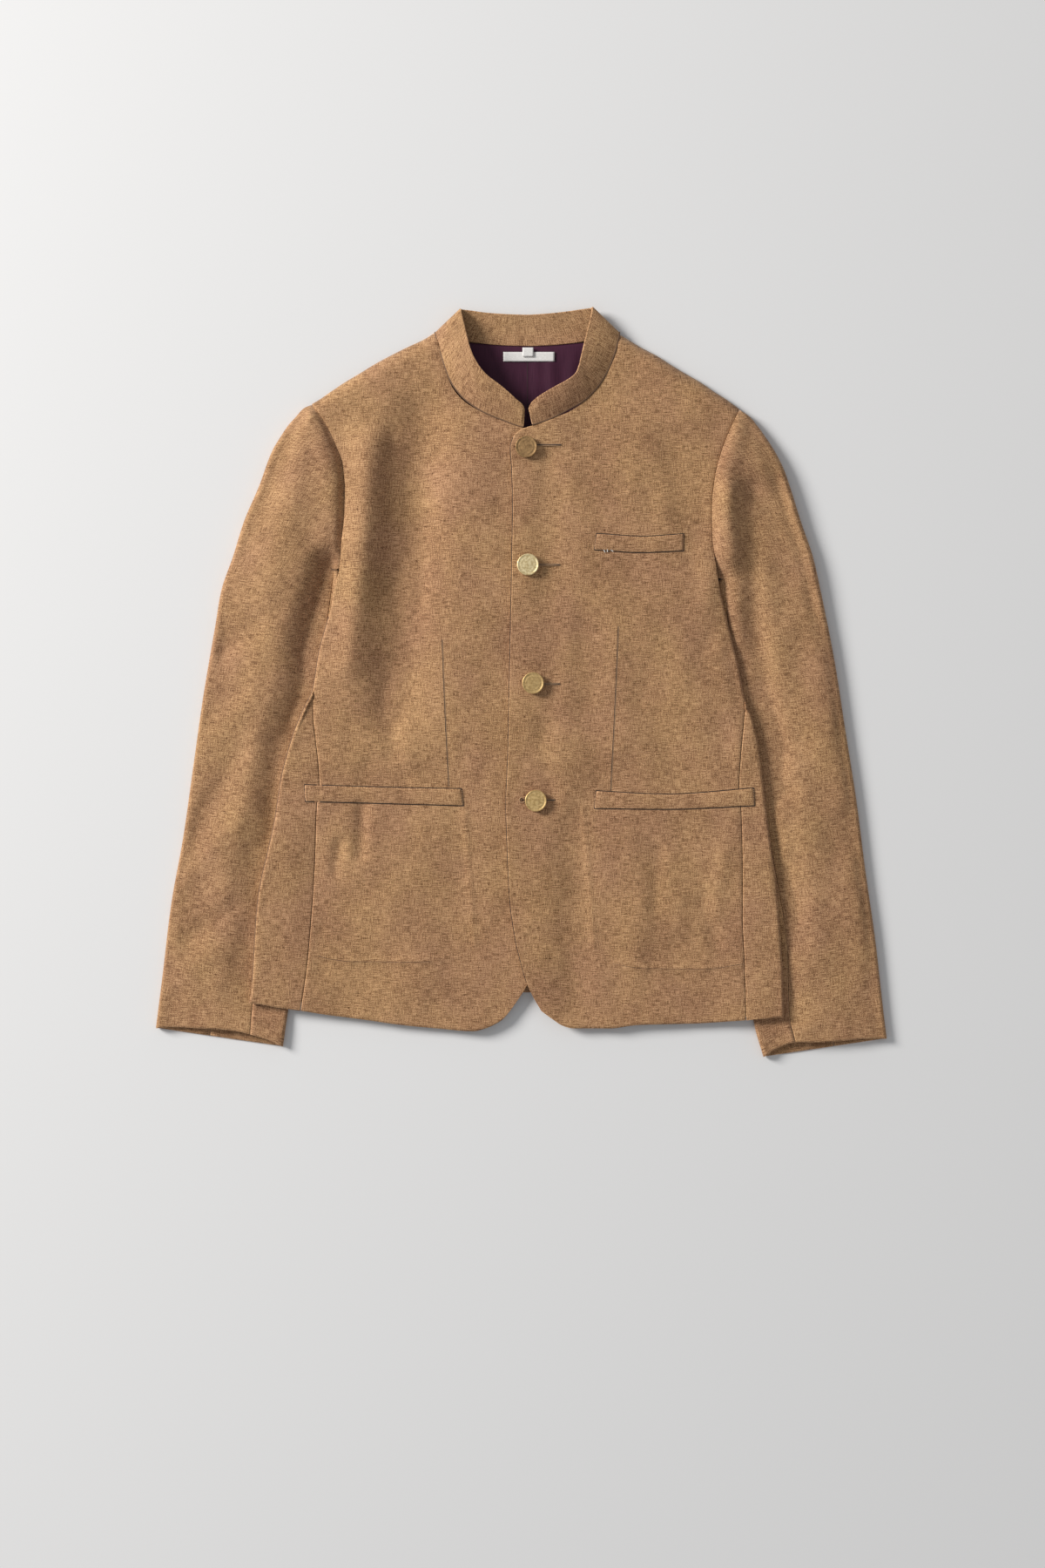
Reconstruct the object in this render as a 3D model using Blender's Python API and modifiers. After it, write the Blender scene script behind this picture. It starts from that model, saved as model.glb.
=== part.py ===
"""A linen jacket with a stand collar, laid flat with its front up.

The origin lies under the middle of the jacket, on the surface it rests on:
+X to the wearer's left, +Y to the collar, +Z up. Left and right are the
wearer's. Sizes and tables are in millimetres, and the meshes in metres.
"""
import math
from bisect import bisect_right

import bmesh
import bpy
from mathutils import Vector
from mathutils.bvhtree import BVHTree

MM = 0.001
SIGN = {"left": 1.0, "right": -1.0}

# Cloth
CLOTH = 1.6
COLLAR_CLOTH = 2.2
LINING_CLOTH = 1.0
SEAM_GAP = 0.6
EDGE_GAP = 1.8
NECK_GAP = 1.6
NECK_MIDDLE = Vector((5.0, 310.0))
LYING_GAP = 0.4
LAP_RAISE = 2.5
LAP_FLAT_TO = 32.0
LAP_EASE = 36.0
SIDE_BLEND = 90.0
FOLD_FADE = 30.0
LOWEST_FOLD = -330.0

# Where each side's armpit lies, and where its front seam turns under the side
PIT = {"left": 101.8, "right": 111.4}
SEAM_TURN = {"left": -18.0, "right": -7.0}
SHOULDER_ROLL = 14.0
SHOULDER_MID = 2.4
SHOULDER_SLOPE = math.cos(math.radians(30.0))

# Side of the body and armhole: height in the photo, distance from the middle
TORSO_EDGE = {
    "left": [(-334.6, 262.5), (-294, 261.5), (-238, 257.8), (-189, 253.0), (-137, 246.0),
             (-101, 241.8), (-68, 237.7), (-48, 233.7), (-33, 229.7), (-18, 223.8),
             (13, 217.6), (46, 209.6), (76, 202.0), (101.8, 196.5), (119, 193.9),
             (145, 190.5), (173, 190.0), (204, 193.0), (231, 199.9), (259, 211.2),
             (273.8, 218.7)],
    "right": [(-320.9, 272.6), (-308, 270.0), (-222, 264.0), (-137, 246.5), (-114, 243.0),
              (-93, 239.5), (-68, 233.0), (-45, 225.5), (-25, 217.0), (-7, 208.6),
              (29, 202.7), (52, 196.6), (73, 190.5), (91, 188.0), (111.4, 182.0),
              (142, 179.4), (167, 176.9), (194, 176.4), (217, 178.6), (235, 185.2),
              (257, 195.3), (278.8, 210.4)],
}

# Shoulder line: distance from the middle, height in the photo
SHOULDER = {
    "left": [(97.8, 349.0), (106, 344.0), (119, 336.0), (136, 327.0), (150, 318.0),
             (165, 309.0), (179, 301.0), (192, 292.0), (206, 283.0), (218.7, 273.8)],
    "right": [(86.0, 351.0), (97, 344.0), (114, 336.0), (132, 327.0), (148.5, 318.0),
              (163, 309.0), (176.5, 301.0), (190, 292.0), (203, 283.0), (210.4, 278.8)],
}

# Seam between front and side panel: height in the photo, distance from the middle
FRONT_SEAM = {
    "left": [(-338.0, 224.6), (-281, 223.0), (-238, 221.0), (-181, 220.8), (-128, 219.5),
             (-109, 217.4), (-74, 219.0), (-42, 222.0), (-18, 223.8)],
    "right": [(-328.6, 220.9), (-280, 214.0), (-238, 210.4), (-181, 206.7), (-124, 204.5),
              (-102, 202.0), (-81, 203.0), (-58, 205.8), (-30, 208.4), (-7, 208.6)],
}

# Front edge from the hem's round corner up: height in the photo, x
FRONT_EDGE = {
    "left": [(-329.0, 20.0), (-313, 10.8), (-301, 5.7), (-280, -0.4), (-259, -5.4),
             (-219, -11.2), (-161, -14.1), (-124, -15.1), (-67, -13.1), (-14, -12.0),
             (73, -10.2), (143, -8.9), (176, -8.4), (210, -9.2), (234, -10.6), (246.0, -7.0)],
    "right": [(-326.0, -9.0), (-308, 2.9), (-303, 5.7), (-280, 13.0), (-259, 18.0),
              (-219, 25.0), (-161, 29.0), (-118, 30.5), (0, 28.0), (116, 24.0),
              (233, 22.0), (249.0, 21.0)],
}

# Neck seam of each front, from the front edge to the shoulder: x, y
NECK_SEAM = {
    "left": [(-7.0, 246.0), (-2.0, 250.3), (4.5, 253.3), (15, 256.5), (30, 262.0),
             (48.7, 270.0), (71, 287.5), (84, 305.0), (94, 328.0), (97.8, 349.0)],
    "right": [(21.0, 249.0), (1.4, 253.4), (-12.7, 258.0), (-37, 268.0), (-57, 280.0),
              (-70, 296.0), (-79, 322.0), (-86, 351.0)],
}

# Hem of each front, from the round corner to the side: x, y
HEM = {
    "left": [(20.0, -329.0), (30.9, -337.0), (42, -344.0), (53, -346.5), (88.6, -346.5),
             (117, -343.0), (173.5, -341.7), (224.6, -338.0)],
    "right": [(-9.0, -326.0), (-19.4, -338.0), (-36, -346.5), (-48.4, -349.3), (-86, -346.5),
              (-121, -343.0), (-156, -338.0), (-197, -332.6), (-220.9, -328.6)],
}

# Outer edge of each sleeve: height in the photo, distance from the middle
SLEEVE_OUTER = {
    "left": [(-357.0, 366.5), (-329, 363.0), (-259, 355.0), (-189, 345.0), (-119, 336.0),
             (-49, 325.0), (21, 314.0), (91, 300.0), (126, 292.0), (161, 280.0), (196, 269.0),
             (213, 263.0), (231, 254.0), (248, 243.0), (257, 236.5), (266, 229.0),
             (273.8, 219.2)],
    "right": [(-346.7, 366.7), (-294, 360.0), (-224, 351.5), (-154, 339.0), (-84, 329.0),
              (-14, 319.0), (56, 307.0), (91, 301.0), (126, 289.0), (161, 278.0), (196, 263.0),
              (231, 250.0), (248, 240.0), (257, 234.0), (266, 226.0), (274, 219.0),
              (278.8, 211.0)],
}

# Inner edge of each sleeve, under the body: height in the photo, distance from the middle
SLEEVE_INNER = {
    "left": [(-375.6, 242.6), (-340, 233.0), (-220, 220.0), (-102, 208.0), (0, 200.0),
             (101.8, 196.5)],
    "right": [(-365.1, 239.1), (-321, 233.0), (-215, 218.0), (-114, 205.0), (0, 190.0),
              (111.4, 182.0)],
}

# How much higher the outer end of a sleeve's row lies: height above the armpit, slant
SLEEVE_SLANT = [(-477, 18.5), (0, 15.0), (60, 12.0), (126, 7.0), (154, 4.5), (166, 0.6)]

# Front seam of each sleeve: height in the photo, distance from the inner edge
SLEEVE_SEAM = {
    "left": [(-376, 32.0), (-321, 38.0), (-266, 42.0), (-200, 38.0), (-100, 30.0), (0, 18.0),
             (60, 9.0), (101.8, 6.0)],
    "right": [(-365, 33.0), (-320, 36.0), (-200, 31.0), (-100, 24.0), (0, 14.0), (60, 9.0),
              (111.4, 6.0)],
}
HIND_SEAM_SHARE = 0.42
CUFF_EASE = 20.0
HEM_CLEAR = 10.0
SLEEVE_CLEAR = 1.5
LOW_COVER, COVER_EXTRA = 7.0, 0.8
WIDEST_FOLD, OUTER_RISE, INNER_REACH = 0.45, 0.42, 0.40

# Middle of the fronts: height in the photo, height of the outer face
CENTRE_TOP = [(-350, 8.6), (-300, 8.8), (-100, 10.6), (0, 12.5), (100, 15.0), (200, 16.5),
              (255, 16.5), (300, 15.0), (350, 12.5)]

# Stations: shares of the armhole, heights below the waist, shares from seam turn to armpit
ARMHOLE_SHARES = (0.11, 0.24, 0.37, 0.50, 0.63, 0.76, 0.87, 0.925, 0.973, 0.991)
LOW_STATIONS = [-300.0, -262.0, -222.0, -180.0, -140.0, -105.0, -72.0]
HIGH_SHARES = (0.3, 0.55, 0.8)
TURN_STEP = 26.0
SLEEVE_SHARES = (0.0, 0.11, 0.23, 0.36, 0.49, 0.62, 0.74, 0.84, 0.92)
NECK_ROWS = 8

# Side: height above the armpit, sleeve's height under the body, radius of the body's fold
PRESSED, FOLD_RADIUS = 1, 2
SIDE_HEIGHTS = [(-477, 7.6, 3.0), (-463, 7.2, 3.0), (-442, 6.0, 3.0), (-75, 6.0, 3.0),
                (0, 10.0, 2.5)]
OVER_SLEEVE = 0.9

# Armhole: height above the armpit, height of the front's outer face
ARMHOLE_TOP = [(0, 15.8), (18, 15.4), (60, 15.0), (100, 14.2), (150, 12.8), (175, 12.0)]

# Sleeve: height above the armpit, crest, radius of the outer fold, ridge beside the armhole
CREST, OUTER_RADIUS, RIDGE = 1, 2, 3
RIDGE_PLACE, RIDGE_WIDTH, RIDGE_START = 13.0, 12.0, 9.0
ARMHOLE_STEP, ARMHOLE_REACH, PIT_EASE = 0.4, 24.0, 14.0
SLEEVE_HEIGHTS = [(-477, 8.8, 3.6, 0.0), (-400, 9.8, 3.8, 0.0), (-300, 11.5, 4.0, 0.0),
                  (-150, 14.5, 4.6, 0.0), (-60, 17.0, 5.2, 0.0), (0, 19.0, 6.0, 0.0),
                  (20, 19.5, 6.0, 3.5), (70, 20.5, 6.4, 4.5), (110, 19.5, 6.2, 4.0),
                  (145, 16.0, 5.4, 2.5), (160, 12.5, 4.4, 1.0), (167, 10.0, 3.6, 0.0)]

# Largest folds of the fronts: start x, y, end x, y, half width, height
FRONT_FOLDS = [(-100, 262, -117, 95, 26, -5.5), (-117, 95, -134, -30, 22, -3.0),
               (-160, 205, -163, 60, 20, 1.8), (62, -130, 44, -330, 24, -1.4),
               (120, 220, 150, 60, 40, 1.2)]

# Collar ribs, from the front tip round to the back: seam x, y, z, free edge x, y, z.
# A seam height of None is read from the front that the rib stands on.
COLLAR_RIBS = {
    "left": [(10.9, 256.0, None, 7.0, 271.5, 22.5), (14.5, 257.0, None, 9.4, 276.5, 23.5),
             (21.0, 259.2, None, 15.6, 282.2, 25.0), (31.0, 263.0, None, 25.0, 288.0, 26.5),
             (41.0, 268.2, None, 34.0, 293.0, 27.5), (49.6, 272.9, None, 43.0, 297.6, 28.0),
             (61.0, 279.5, None, 50.0, 302.0, 28.0), (71.5, 289.0, None, 55.5, 308.0, 27.5),
             (79.0, 298.5, None, 57.6, 314.5, 26.5), (85.0, 308.5, None, 59.3, 322.0, 25.5),
             (90.5, 321.0, None, 61.5, 332.0, 23.5), (94.5, 333.0, None, 64.4, 345.0, 20.5),
             (96.8, 343.0, 11.0, 68.4, 361.0, 17.0), (98.0, 349.0, 8.2, 71.0, 373.5, 14.0),
             (98.2, 350.6, 5.4, 71.4, 375.3, 10.6), (96.4, 350.0, 2.0, 69.6, 374.8, 7.4),
             (90.0, 347.6, 0.2, 64.0, 374.2, 6.0), (78.0, 344.4, 0.0, 56.0, 373.2, 5.2),
             (64.0, 342.0, 0.0, 45.0, 371.6, 5.0), (44.0, 339.4, 0.0, 32.0, 370.0, 5.0),
             (26.0, 338.0, 0.0, 19.0, 369.0, 5.0), (8.0, 337.4, 0.0, 4.8, 368.4, 5.0)],
    "right": [(2.2, 254.6, None, 3.2, 270.5, 22.5), (-1.2, 255.0, None, 1.6, 274.8, 23.5),
              (-7.5, 256.8, None, -5.0, 280.4, 25.0), (-16.0, 260.0, None, -13.5, 288.0, 26.5),
              (-27.0, 264.4, None, -24.0, 296.4, 27.5), (-37.5, 269.0, None, -32.6, 302.6, 28.0),
              (-48.0, 275.4, None, -39.0, 309.0, 28.0), (-57.5, 283.0, None, -44.6, 317.0, 27.5),
              (-64.5, 291.0, None, -48.6, 325.0, 26.5), (-70.5, 300.0, None, -51.6, 333.0, 25.5),
              (-75.5, 312.0, None, -54.0, 342.5, 23.5), (-79.6, 325.0, None, -56.4, 353.0, 20.5),
              (-83.4, 338.0, 11.4, -58.6, 363.0, 17.5), (-85.8, 347.5, 8.6, -60.4, 371.0, 14.4),
              (-86.6, 350.4, 5.6, -61.2, 373.5, 11.0), (-85.0, 350.6, 2.0, -59.8, 373.4, 7.6),
              (-79.0, 348.0, 0.2, -55.0, 373.0, 6.0), (-67.0, 344.4, 0.0, -47.0, 372.0, 5.2),
              (-54.0, 342.0, 0.0, -38.0, 370.8, 5.0), (-36.0, 339.6, 0.0, -26.0, 369.6, 5.0),
              (-18.0, 338.0, 0.0, -13.0, 368.8, 5.0)],
}
COLLAR_BULGE = 2.6

# Back: neck seam, x, y, and its hem at the middle
BACK_NECK = [(-84.0, 346.6), (-54, 340.4), (-18, 336.6), (8, 336.0), (26, 336.6), (64, 340.4),
             (95.0, 346.0)]
BACK_HEM_MIDDLE = -311.0
BACK_SEAM_INSIDE = 19.0
BACK_HEM = {"left": -333.0, "right": -322.0}

# Neck lining, label and size tab, lying one on the other: x from, x to, y from, y to
LINING = (-78.0, 86.0, 250.0, 335.6)
LABEL = (-18.2, 33.3, 321.7, 331.2)
SIZE_TAB = (1.1, 12.1, 326.3, 335.4)

# Welts: upper and lower edge at three places along each, x, y
WELTS = {
    "chest_welt": [[(75, 147.4), (122, 144.6), (162, 147.4)],
                   [(72.8, 131.9), (120, 129.2), (161.6, 131.0)]],
    "welt_right": [[(-217, -103.0), (-121, -105.8), (-60, -107.0)],
                   [(-216, -119.0), (-121, -121.5), (-57.8, -123.3)]],
    "welt_left": [[(74.6, -109.0), (145, -112.4), (232, -106.4)],
                  [(72.8, -125.4), (145, -128.0), (233.2, -123.0)]],
}
WELT_CLOTH = 1.1

# Buttons, top to bottom: x, y, buttonhole's eye x, buttonhole's end x, its y
BUTTONS = [(4.8, 233.5, 9.0, 39.3, 236.0), (6.5, 116.5, 9.0, 38.0, 116.8),
           (11.6, -1.3, 9.0, 38.0, -2.0), (14.4, -118.6, 0.7, 33.0, -117.9)]
BUTTON_DIAMETER = 21.7
BUTTON_RIM = 0.9
BUTTON_THICKNESS = 2.2
BUTTON_LIFT = 2.0
SHANK_DIAMETER = 3.2
SHANK_HOLE = 4.4
SLIT_WIDTH = 1.3
EYE_DIAMETER = 5.0

# Look of each material: colour, roughness, metallic
LOOKS = {
    "linen": ((0.36, 0.215, 0.11), 0.92, 0.0),
    "lining": ((0.075, 0.03, 0.05), 0.55, 0.0),
    "woven_label": ((0.80, 0.78, 0.74), 0.75, 0.0),
    "brass": ((0.52, 0.40, 0.21), 0.38, 1.0),
}


def mix(start, end, share):
    """Number or vector between two others."""
    return start + (end - start) * share


def smooth(share):
    """Ease from 0 to 1 with level ends."""
    share = min(max(share, 0.0), 1.0)
    return share * share * (3.0 - 2.0 * share)


def read(table, key, column=1):
    """Value of a column at a key, on a smooth line through the table's rows."""
    if key <= table[0][0]:
        return table[0][column]
    if key >= table[-1][0]:
        return table[-1][column]
    place = bisect_right([row[0] for row in table], key) - 1

    def rise(index):
        return ((table[index + 1][column] - table[index][column])
                / (table[index + 1][0] - table[index][0]))

    def slope(index):
        if index in (0, len(table) - 1):
            return rise(min(index, len(table) - 2))
        before, after = rise(index - 1), rise(index)
        return 0.0 if before * after <= 0.0 else 2.0 * before * after / (before + after)

    step = table[place + 1][0] - table[place][0]
    share = (key - table[place][0]) / step
    low, high = table[place][column], table[place + 1][column]
    bend = share * (1.0 - share)
    return (mix(low, high, smooth(share))
            + step * bend * ((1.0 - share) * slope(place) - share * slope(place + 1)))


def along(points, share):
    """Point of a line at a share of its length, on a smooth line through its points."""
    lengths = [0.0]
    for start, end in zip(points, points[1:]):
        lengths.append(lengths[-1] + math.dist(start, end))
    key = share * lengths[-1]
    columns = range(1, len(points[0]) + 1)
    table = [(length, *point) for length, point in zip(lengths, points)]
    return tuple(read(table, key, column) for column in columns)


def fold_height(folds, x, y):
    """Height that a list of soft folds adds at a point."""
    total = 0.0
    for start_x, start_y, end_x, end_y, half_width, height in folds:
        run_x, run_y = end_x - start_x, end_y - start_y
        length_squared = run_x ** 2 + run_y ** 2
        share = ((x - start_x) * run_x + (y - start_y) * run_y) / length_squared
        held = min(max(share, 0.0), 1.0)
        away = math.hypot(x - start_x - held * run_x, y - start_y - held * run_y)
        total += height * math.exp(-(away / half_width) ** 2)
    return total


def under_side(side, y):
    """Height of the body's underside where it lies over the sleeve."""
    return read(SIDE_HEIGHTS, y - PIT[side], PRESSED) + OVER_SLEEVE


def fold_radius(side, y):
    """Half the thickness of the body where its side folds round."""
    return read(SIDE_HEIGHTS, y - PIT[side], FOLD_RADIUS)


def edge_top(side, y):
    """Height of the front's outer face beside its side fold or armhole."""
    if y < PIT[side]:
        return under_side(side, max(y, LOWEST_FOLD)) + 2.0 * fold_radius(side, y)
    return read(ARMHOLE_TOP, y - PIT[side])


def shoulder_depth(side, x, y):
    """Distance from a point to the shoulder line."""
    return (read(SHOULDER[side], abs(x)) - y) * SHOULDER_SLOPE


def front_top(x, y):
    """Height of the fronts' outer face."""
    side = "left" if x > 0.0 else "right"
    inside = read(TORSO_EDGE[side], y) - abs(x)
    height = mix(read(CENTRE_TOP, y), edge_top(side, y), smooth(1.0 - inside / SIDE_BLEND))
    height += fold_height(FRONT_FOLDS, x, y) * smooth(inside / FOLD_FADE)
    radius = fold_radius(side, y)
    if y < PIT[side] and inside < radius:
        drop = radius - math.sqrt(max(radius ** 2 - (radius - max(inside, 0.0)) ** 2, 0.0))
        height -= drop
    depth = shoulder_depth(side, x, y)
    if depth < SHOULDER_ROLL:
        rolled = 1.0 - max(depth, 0.0) / SHOULDER_ROLL
        height = mix(SHOULDER_MID, height, math.sqrt(1.0 - rolled ** 2))
    return height


def lap_raise(x):
    """How far the left front is lifted where it laps over the right front."""
    return LAP_RAISE * (1.0 - smooth((x - LAP_FLAT_TO) / LAP_EASE))


def armhole_heights(side):
    """Heights of the armhole's stations, from the armpit up to the shoulder."""
    top = TORSO_EDGE[side][-1][0]
    return [mix(PIT[side], top, share) for share in ARMHOLE_SHARES]


def side_heights(side):
    """Heights of the side panel's stations, from above the hem up to the armpit."""
    turn, pit = SEAM_TURN[side], PIT[side]
    high = [mix(turn, pit, share) for share in HIGH_SHARES]
    return LOW_STATIONS + [turn - TURN_STEP, turn] + high + [pit]


def front_grid(side):
    """Points of a front: rows from the hem to the shoulder, columns from edge to side."""
    sign = SIGN[side]
    hem, seam_end = HEM[side], FRONT_SEAM[side][0]
    outer = [(sign * seam_end[1], seam_end[0])]
    for y in side_heights(side):
        table = FRONT_SEAM if y < SEAM_TURN[side] else TORSO_EDGE
        outer.append((sign * read(table[side], y), y))
    for y in armhole_heights(side):
        outer.append((sign * read(TORSO_EDGE[side], y), y))
    outer.append((sign * TORSO_EDGE[side][-1][1], TORSO_EDGE[side][-1][0]))

    neck_row = len(outer) - NECK_ROWS
    bottom_y, top_y = outer[0][1], outer[neck_row][1]
    edge_low, edge_high = FRONT_EDGE[side][0][0], FRONT_EDGE[side][-1][0]
    neck_low = outer[neck_row][1]
    inner = []
    for index, (_, y) in enumerate(outer):
        if index <= neck_row:
            level = mix(edge_low, edge_high, (y - bottom_y) / (top_y - bottom_y))
            inner.append((read(FRONT_EDGE[side], level), level))
        else:
            share = (y - neck_low) / (outer[-1][1] - neck_low)
            inner.append(along(NECK_SEAM[side], share))

    shoulder = [(sign * x, y) for x, y in SHOULDER[side]]
    columns = (0.0, 0.08, 0.18, 0.30, 0.43, 0.56, 0.69, 0.81, 0.90, 0.96, 0.986, 1.0)
    rows = []
    for index, (start, end) in enumerate(zip(inner, outer)):
        up = index / (len(outer) - 1)
        row = []
        for across in columns:
            point = Vector(mix(Vector(start), Vector(end), across))
            hem_bend = Vector(along(hem, across)) - mix(Vector(hem[0]), Vector(hem[-1]), across)
            top_bend = (Vector(along(shoulder, across))
                        - mix(Vector(shoulder[0]), Vector(shoulder[-1]), across))
            point += hem_bend * smooth(1.0 - up * 3.0) + top_bend * smooth(up * 3.0 - 2.0)
            row.append(point)
        rows.append(row)

    grid = []
    for number, row in enumerate(rows):
        inward = (row[0] - row[-1]).normalized()
        row[-1] += inward * SEAM_GAP / 2.0
        if number >= neck_row:
            row[0] += (row[0] - NECK_MIDDLE).normalized() * NECK_GAP
        line = []
        for point in row:
            lift = lap_raise(point.x) if side == "left" else 0.0
            line.append((point.x, point.y, front_top(point.x, point.y) + lift))
        grid.append(line)
    return grid


def round_extra(radius):
    """How much longer a quarter turn is than its radius."""
    return radius * (math.pi / 2.0 - 1.0)


def side_point(side, y, along_fold):
    """Point of a body side at a distance from its folded edge, above it or below."""
    edge, radius = read(TORSO_EDGE[side], y), fold_radius(side, y)
    middle = under_side(side, max(y, LOWEST_FOLD)) + radius
    turned = min(abs(along_fold) / radius, math.pi / 2.0)
    inward = radius * (1.0 - math.cos(turned))
    inward += max(abs(along_fold) - radius * math.pi / 2.0, 0.0)
    x = edge - inward
    if turned < math.pi / 2.0:
        z = middle + math.copysign(radius * math.sin(turned), along_fold)
    elif along_fold > 0.0:
        z = front_top(SIGN[side] * x, y)
    else:
        past_sleeve = read(SLEEVE_INNER[side], y) - SLEEVE_CLEAR - x
        z = (middle - radius) * (1.0 - smooth(past_sleeve / (BACK_SEAM_INSIDE - 5.0)))
    return x, z


def side_grid(side):
    """Points of a side panel: rows up the body, columns from the front seam to the back."""
    sign = SIGN[side]
    hem_edge = TORSO_EDGE[side][0][0]
    grid = []
    for index, y in enumerate([hem_edge] + side_heights(side)):
        seam_y = FRONT_SEAM[side][0][0] if index == 0 else y
        edge = read(TORSO_EDGE[side], y)
        sleeve = read(SLEEVE_INNER[side], y)
        radius = fold_radius(side, y)
        round_length = radius * math.pi / 2.0
        back = -(edge - sleeve + BACK_SEAM_INSIDE - SEAM_GAP) - round_extra(radius)
        over_sleeve = min(-(edge - sleeve + SLEEVE_CLEAR) - round_extra(radius), -round_length - 0.8)
        if y < SEAM_TURN[side]:
            seam = edge - read(FRONT_SEAM[side], seam_y) + round_extra(radius)
            stops = [seam - SEAM_GAP / 2.0, mix(seam, round_length, 0.5), round_length,
                     round_length / 2.0, 0.0, -round_length / 2.0, -round_length]
        else:
            stops = [mix(-EDGE_GAP, -round_length, share)
                     for share in (0.0, 0.16, 0.33, 0.5, 0.66, 0.82, 1.0)]
        stops += [mix(-round_length, over_sleeve, 0.5), over_sleeve,
                  mix(over_sleeve, back, 0.25), mix(over_sleeve, back, 0.5), back]
        line = []
        for stop in stops:
            x, z = side_point(side, y, stop)
            if z < 0.02:
                z = 0.0
            share = smooth(max(stop, 0.0) / max(stops[0], 1.0))
            line.append((sign * x, mix(y, seam_y, share), z))
        grid.append(line)
    return grid


def sleeve_row(side, y):
    """Inner and outer end of a sleeve's row, in plan."""
    sign = SIGN[side]
    table = SLEEVE_INNER if y < PIT[side] else TORSO_EDGE
    inner = Vector((sign * read(table[side], y), y))
    outer_y = y + read(SLEEVE_SLANT, y - PIT[side])
    outer_y = min(outer_y, SLEEVE_OUTER[side][-1][0] - 0.2)
    outer = Vector((sign * read(SLEEVE_OUTER[side], outer_y), outer_y))
    return inner, outer


def sleeve_rows(side):
    """Heights of a sleeve's rows, from the cuff to the shoulder."""
    cuff, hem = SLEEVE_INNER[side][0][0], TORSO_EDGE[side][0][0]
    low = [cuff, hem - HEM_CLEAR - CUFF_EASE]
    low += [mix(hem - HEM_CLEAR, PIT[side], share)
            for share in SLEEVE_SHARES]
    return low + [PIT[side]] + armhole_heights(side)


def sleeve_cover(side, y, point, from_inner):
    """Distance from a sleeve's inner edge over which the body lies on it."""
    covered = read(TORSO_EDGE[side], point.y) - abs(point.x) + from_inner
    above_hem = y - TORSO_EDGE[side][0][0]
    return mix(LOW_COVER, covered + COVER_EXTRA, smooth((above_hem + CUFF_EASE + HEM_CLEAR) / CUFF_EASE))


def sleeve_top(side, y, from_outer, width, point):
    """Height of a sleeve's upper face at a distance from its outer edge."""
    above = y - PIT[side]
    crest = read(SLEEVE_HEIGHTS, above, CREST)
    radius = min(read(SLEEVE_HEIGHTS, above, OUTER_RADIUS), WIDEST_FOLD * width)
    from_inner = width - from_outer
    outer_rise = smooth((from_outer - radius) / (OUTER_RISE * width))
    height = mix(2.0 * radius, crest, outer_rise)
    if above > 0.0:
        start, clear, reach = front_top(point.x, point.y) + ARMHOLE_STEP, 0.0, ARMHOLE_REACH
        pressed = read(SIDE_HEIGHTS, 0.0, PRESSED)
        start = mix(pressed, start, smooth(above / PIT_EASE))
    else:
        start = read(SIDE_HEIGHTS, above, PRESSED)
        clear = sleeve_cover(side, y, point, from_inner)
        reach = INNER_REACH * (width - clear)
    height = mix(start, height, smooth((from_inner - clear) / reach))
    ridge = read(SLEEVE_HEIGHTS, above, RIDGE)
    swell = math.exp(-((from_inner - RIDGE_PLACE) / RIDGE_WIDTH) ** 2)
    return height + ridge * swell * smooth(from_inner / RIDGE_START)


def sleeve_point(side, y, stop, fold):
    """Point of a sleeve's outer face, at a distance round from its outer or inner fold.

    The distance is positive on the upper face and negative on the underside.
    """
    inner, outer = sleeve_row(side, y)
    width = (inner - outer).length
    above = y - PIT[side]
    if fold == "outer":
        radius = min(read(SLEEVE_HEIGHTS, above, OUTER_RADIUS), WIDEST_FOLD * width)
    else:
        radius = read(SIDE_HEIGHTS, above, PRESSED) / 2.0
    turned = min(abs(stop) / radius, math.pi / 2.0)
    inward = radius * (1.0 - math.cos(turned)) + max(abs(stop) - radius * math.pi / 2.0, 0.0)
    from_outer = inward if fold == "outer" else width - inward
    place = mix(outer, inner, from_outer / width)
    if turned < math.pi / 2.0:
        z = radius + math.copysign(radius * math.sin(turned), stop)
    elif stop > 0.0:
        z = sleeve_top(side, y, from_outer, width, place)
    else:
        z = 0.0
    return place.x, place.y, z


def sleeve_sizes(side, y):
    """Width of a sleeve's row, its outer and inner fold radius, and both seams' places."""
    inner, outer = sleeve_row(side, y)
    width = (inner - outer).length
    above = y - PIT[side]
    outer_radius = min(read(SLEEVE_HEIGHTS, above, OUTER_RADIUS), WIDEST_FOLD * width)
    inner_radius = read(SIDE_HEIGHTS, above, PRESSED) / 2.0
    seam = read(SLEEVE_SEAM[side], y)
    return width, outer_radius, inner_radius, seam, HIND_SEAM_SHARE * width


def top_sleeve_grid(side):
    """Points of a top sleeve: rows up the sleeve, columns from hind seam to front seam."""
    grid = []
    for y in sleeve_rows(side):
        width, radius, _, seam, hind = sleeve_sizes(side, y)
        quarter = radius * math.pi / 2.0
        end = width - SEAM_GAP / 2.0 + round_extra(radius)
        clear_stop = mix(quarter, end, 0.86)
        if y <= PIT[side]:
            end = width - seam - SEAM_GAP / 2.0 + round_extra(radius)
            inner, outer = sleeve_row(side, y)
            cover = sleeve_cover(side, y, inner, 0.0)
            cover = sleeve_cover(side, y, mix(inner, outer, cover / width), cover)
            clear_stop = min(width - cover + round_extra(radius), end - 3.0)
        hind_stop = -(max(hind, radius + 0.3) + round_extra(radius))
        stops = [hind_stop, mix(hind_stop, -quarter, 0.5), -quarter, -quarter / 2.0, 0.0,
                 quarter / 2.0, quarter]
        stops += [mix(quarter, clear_stop, share) for share in (0.14, 0.32, 0.50, 0.68, 0.85, 1.0)]
        stops += [mix(clear_stop, end, 0.5), end]
        grid.append([sleeve_point(side, y, stop, "outer") for stop in stops])
    return grid


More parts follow.
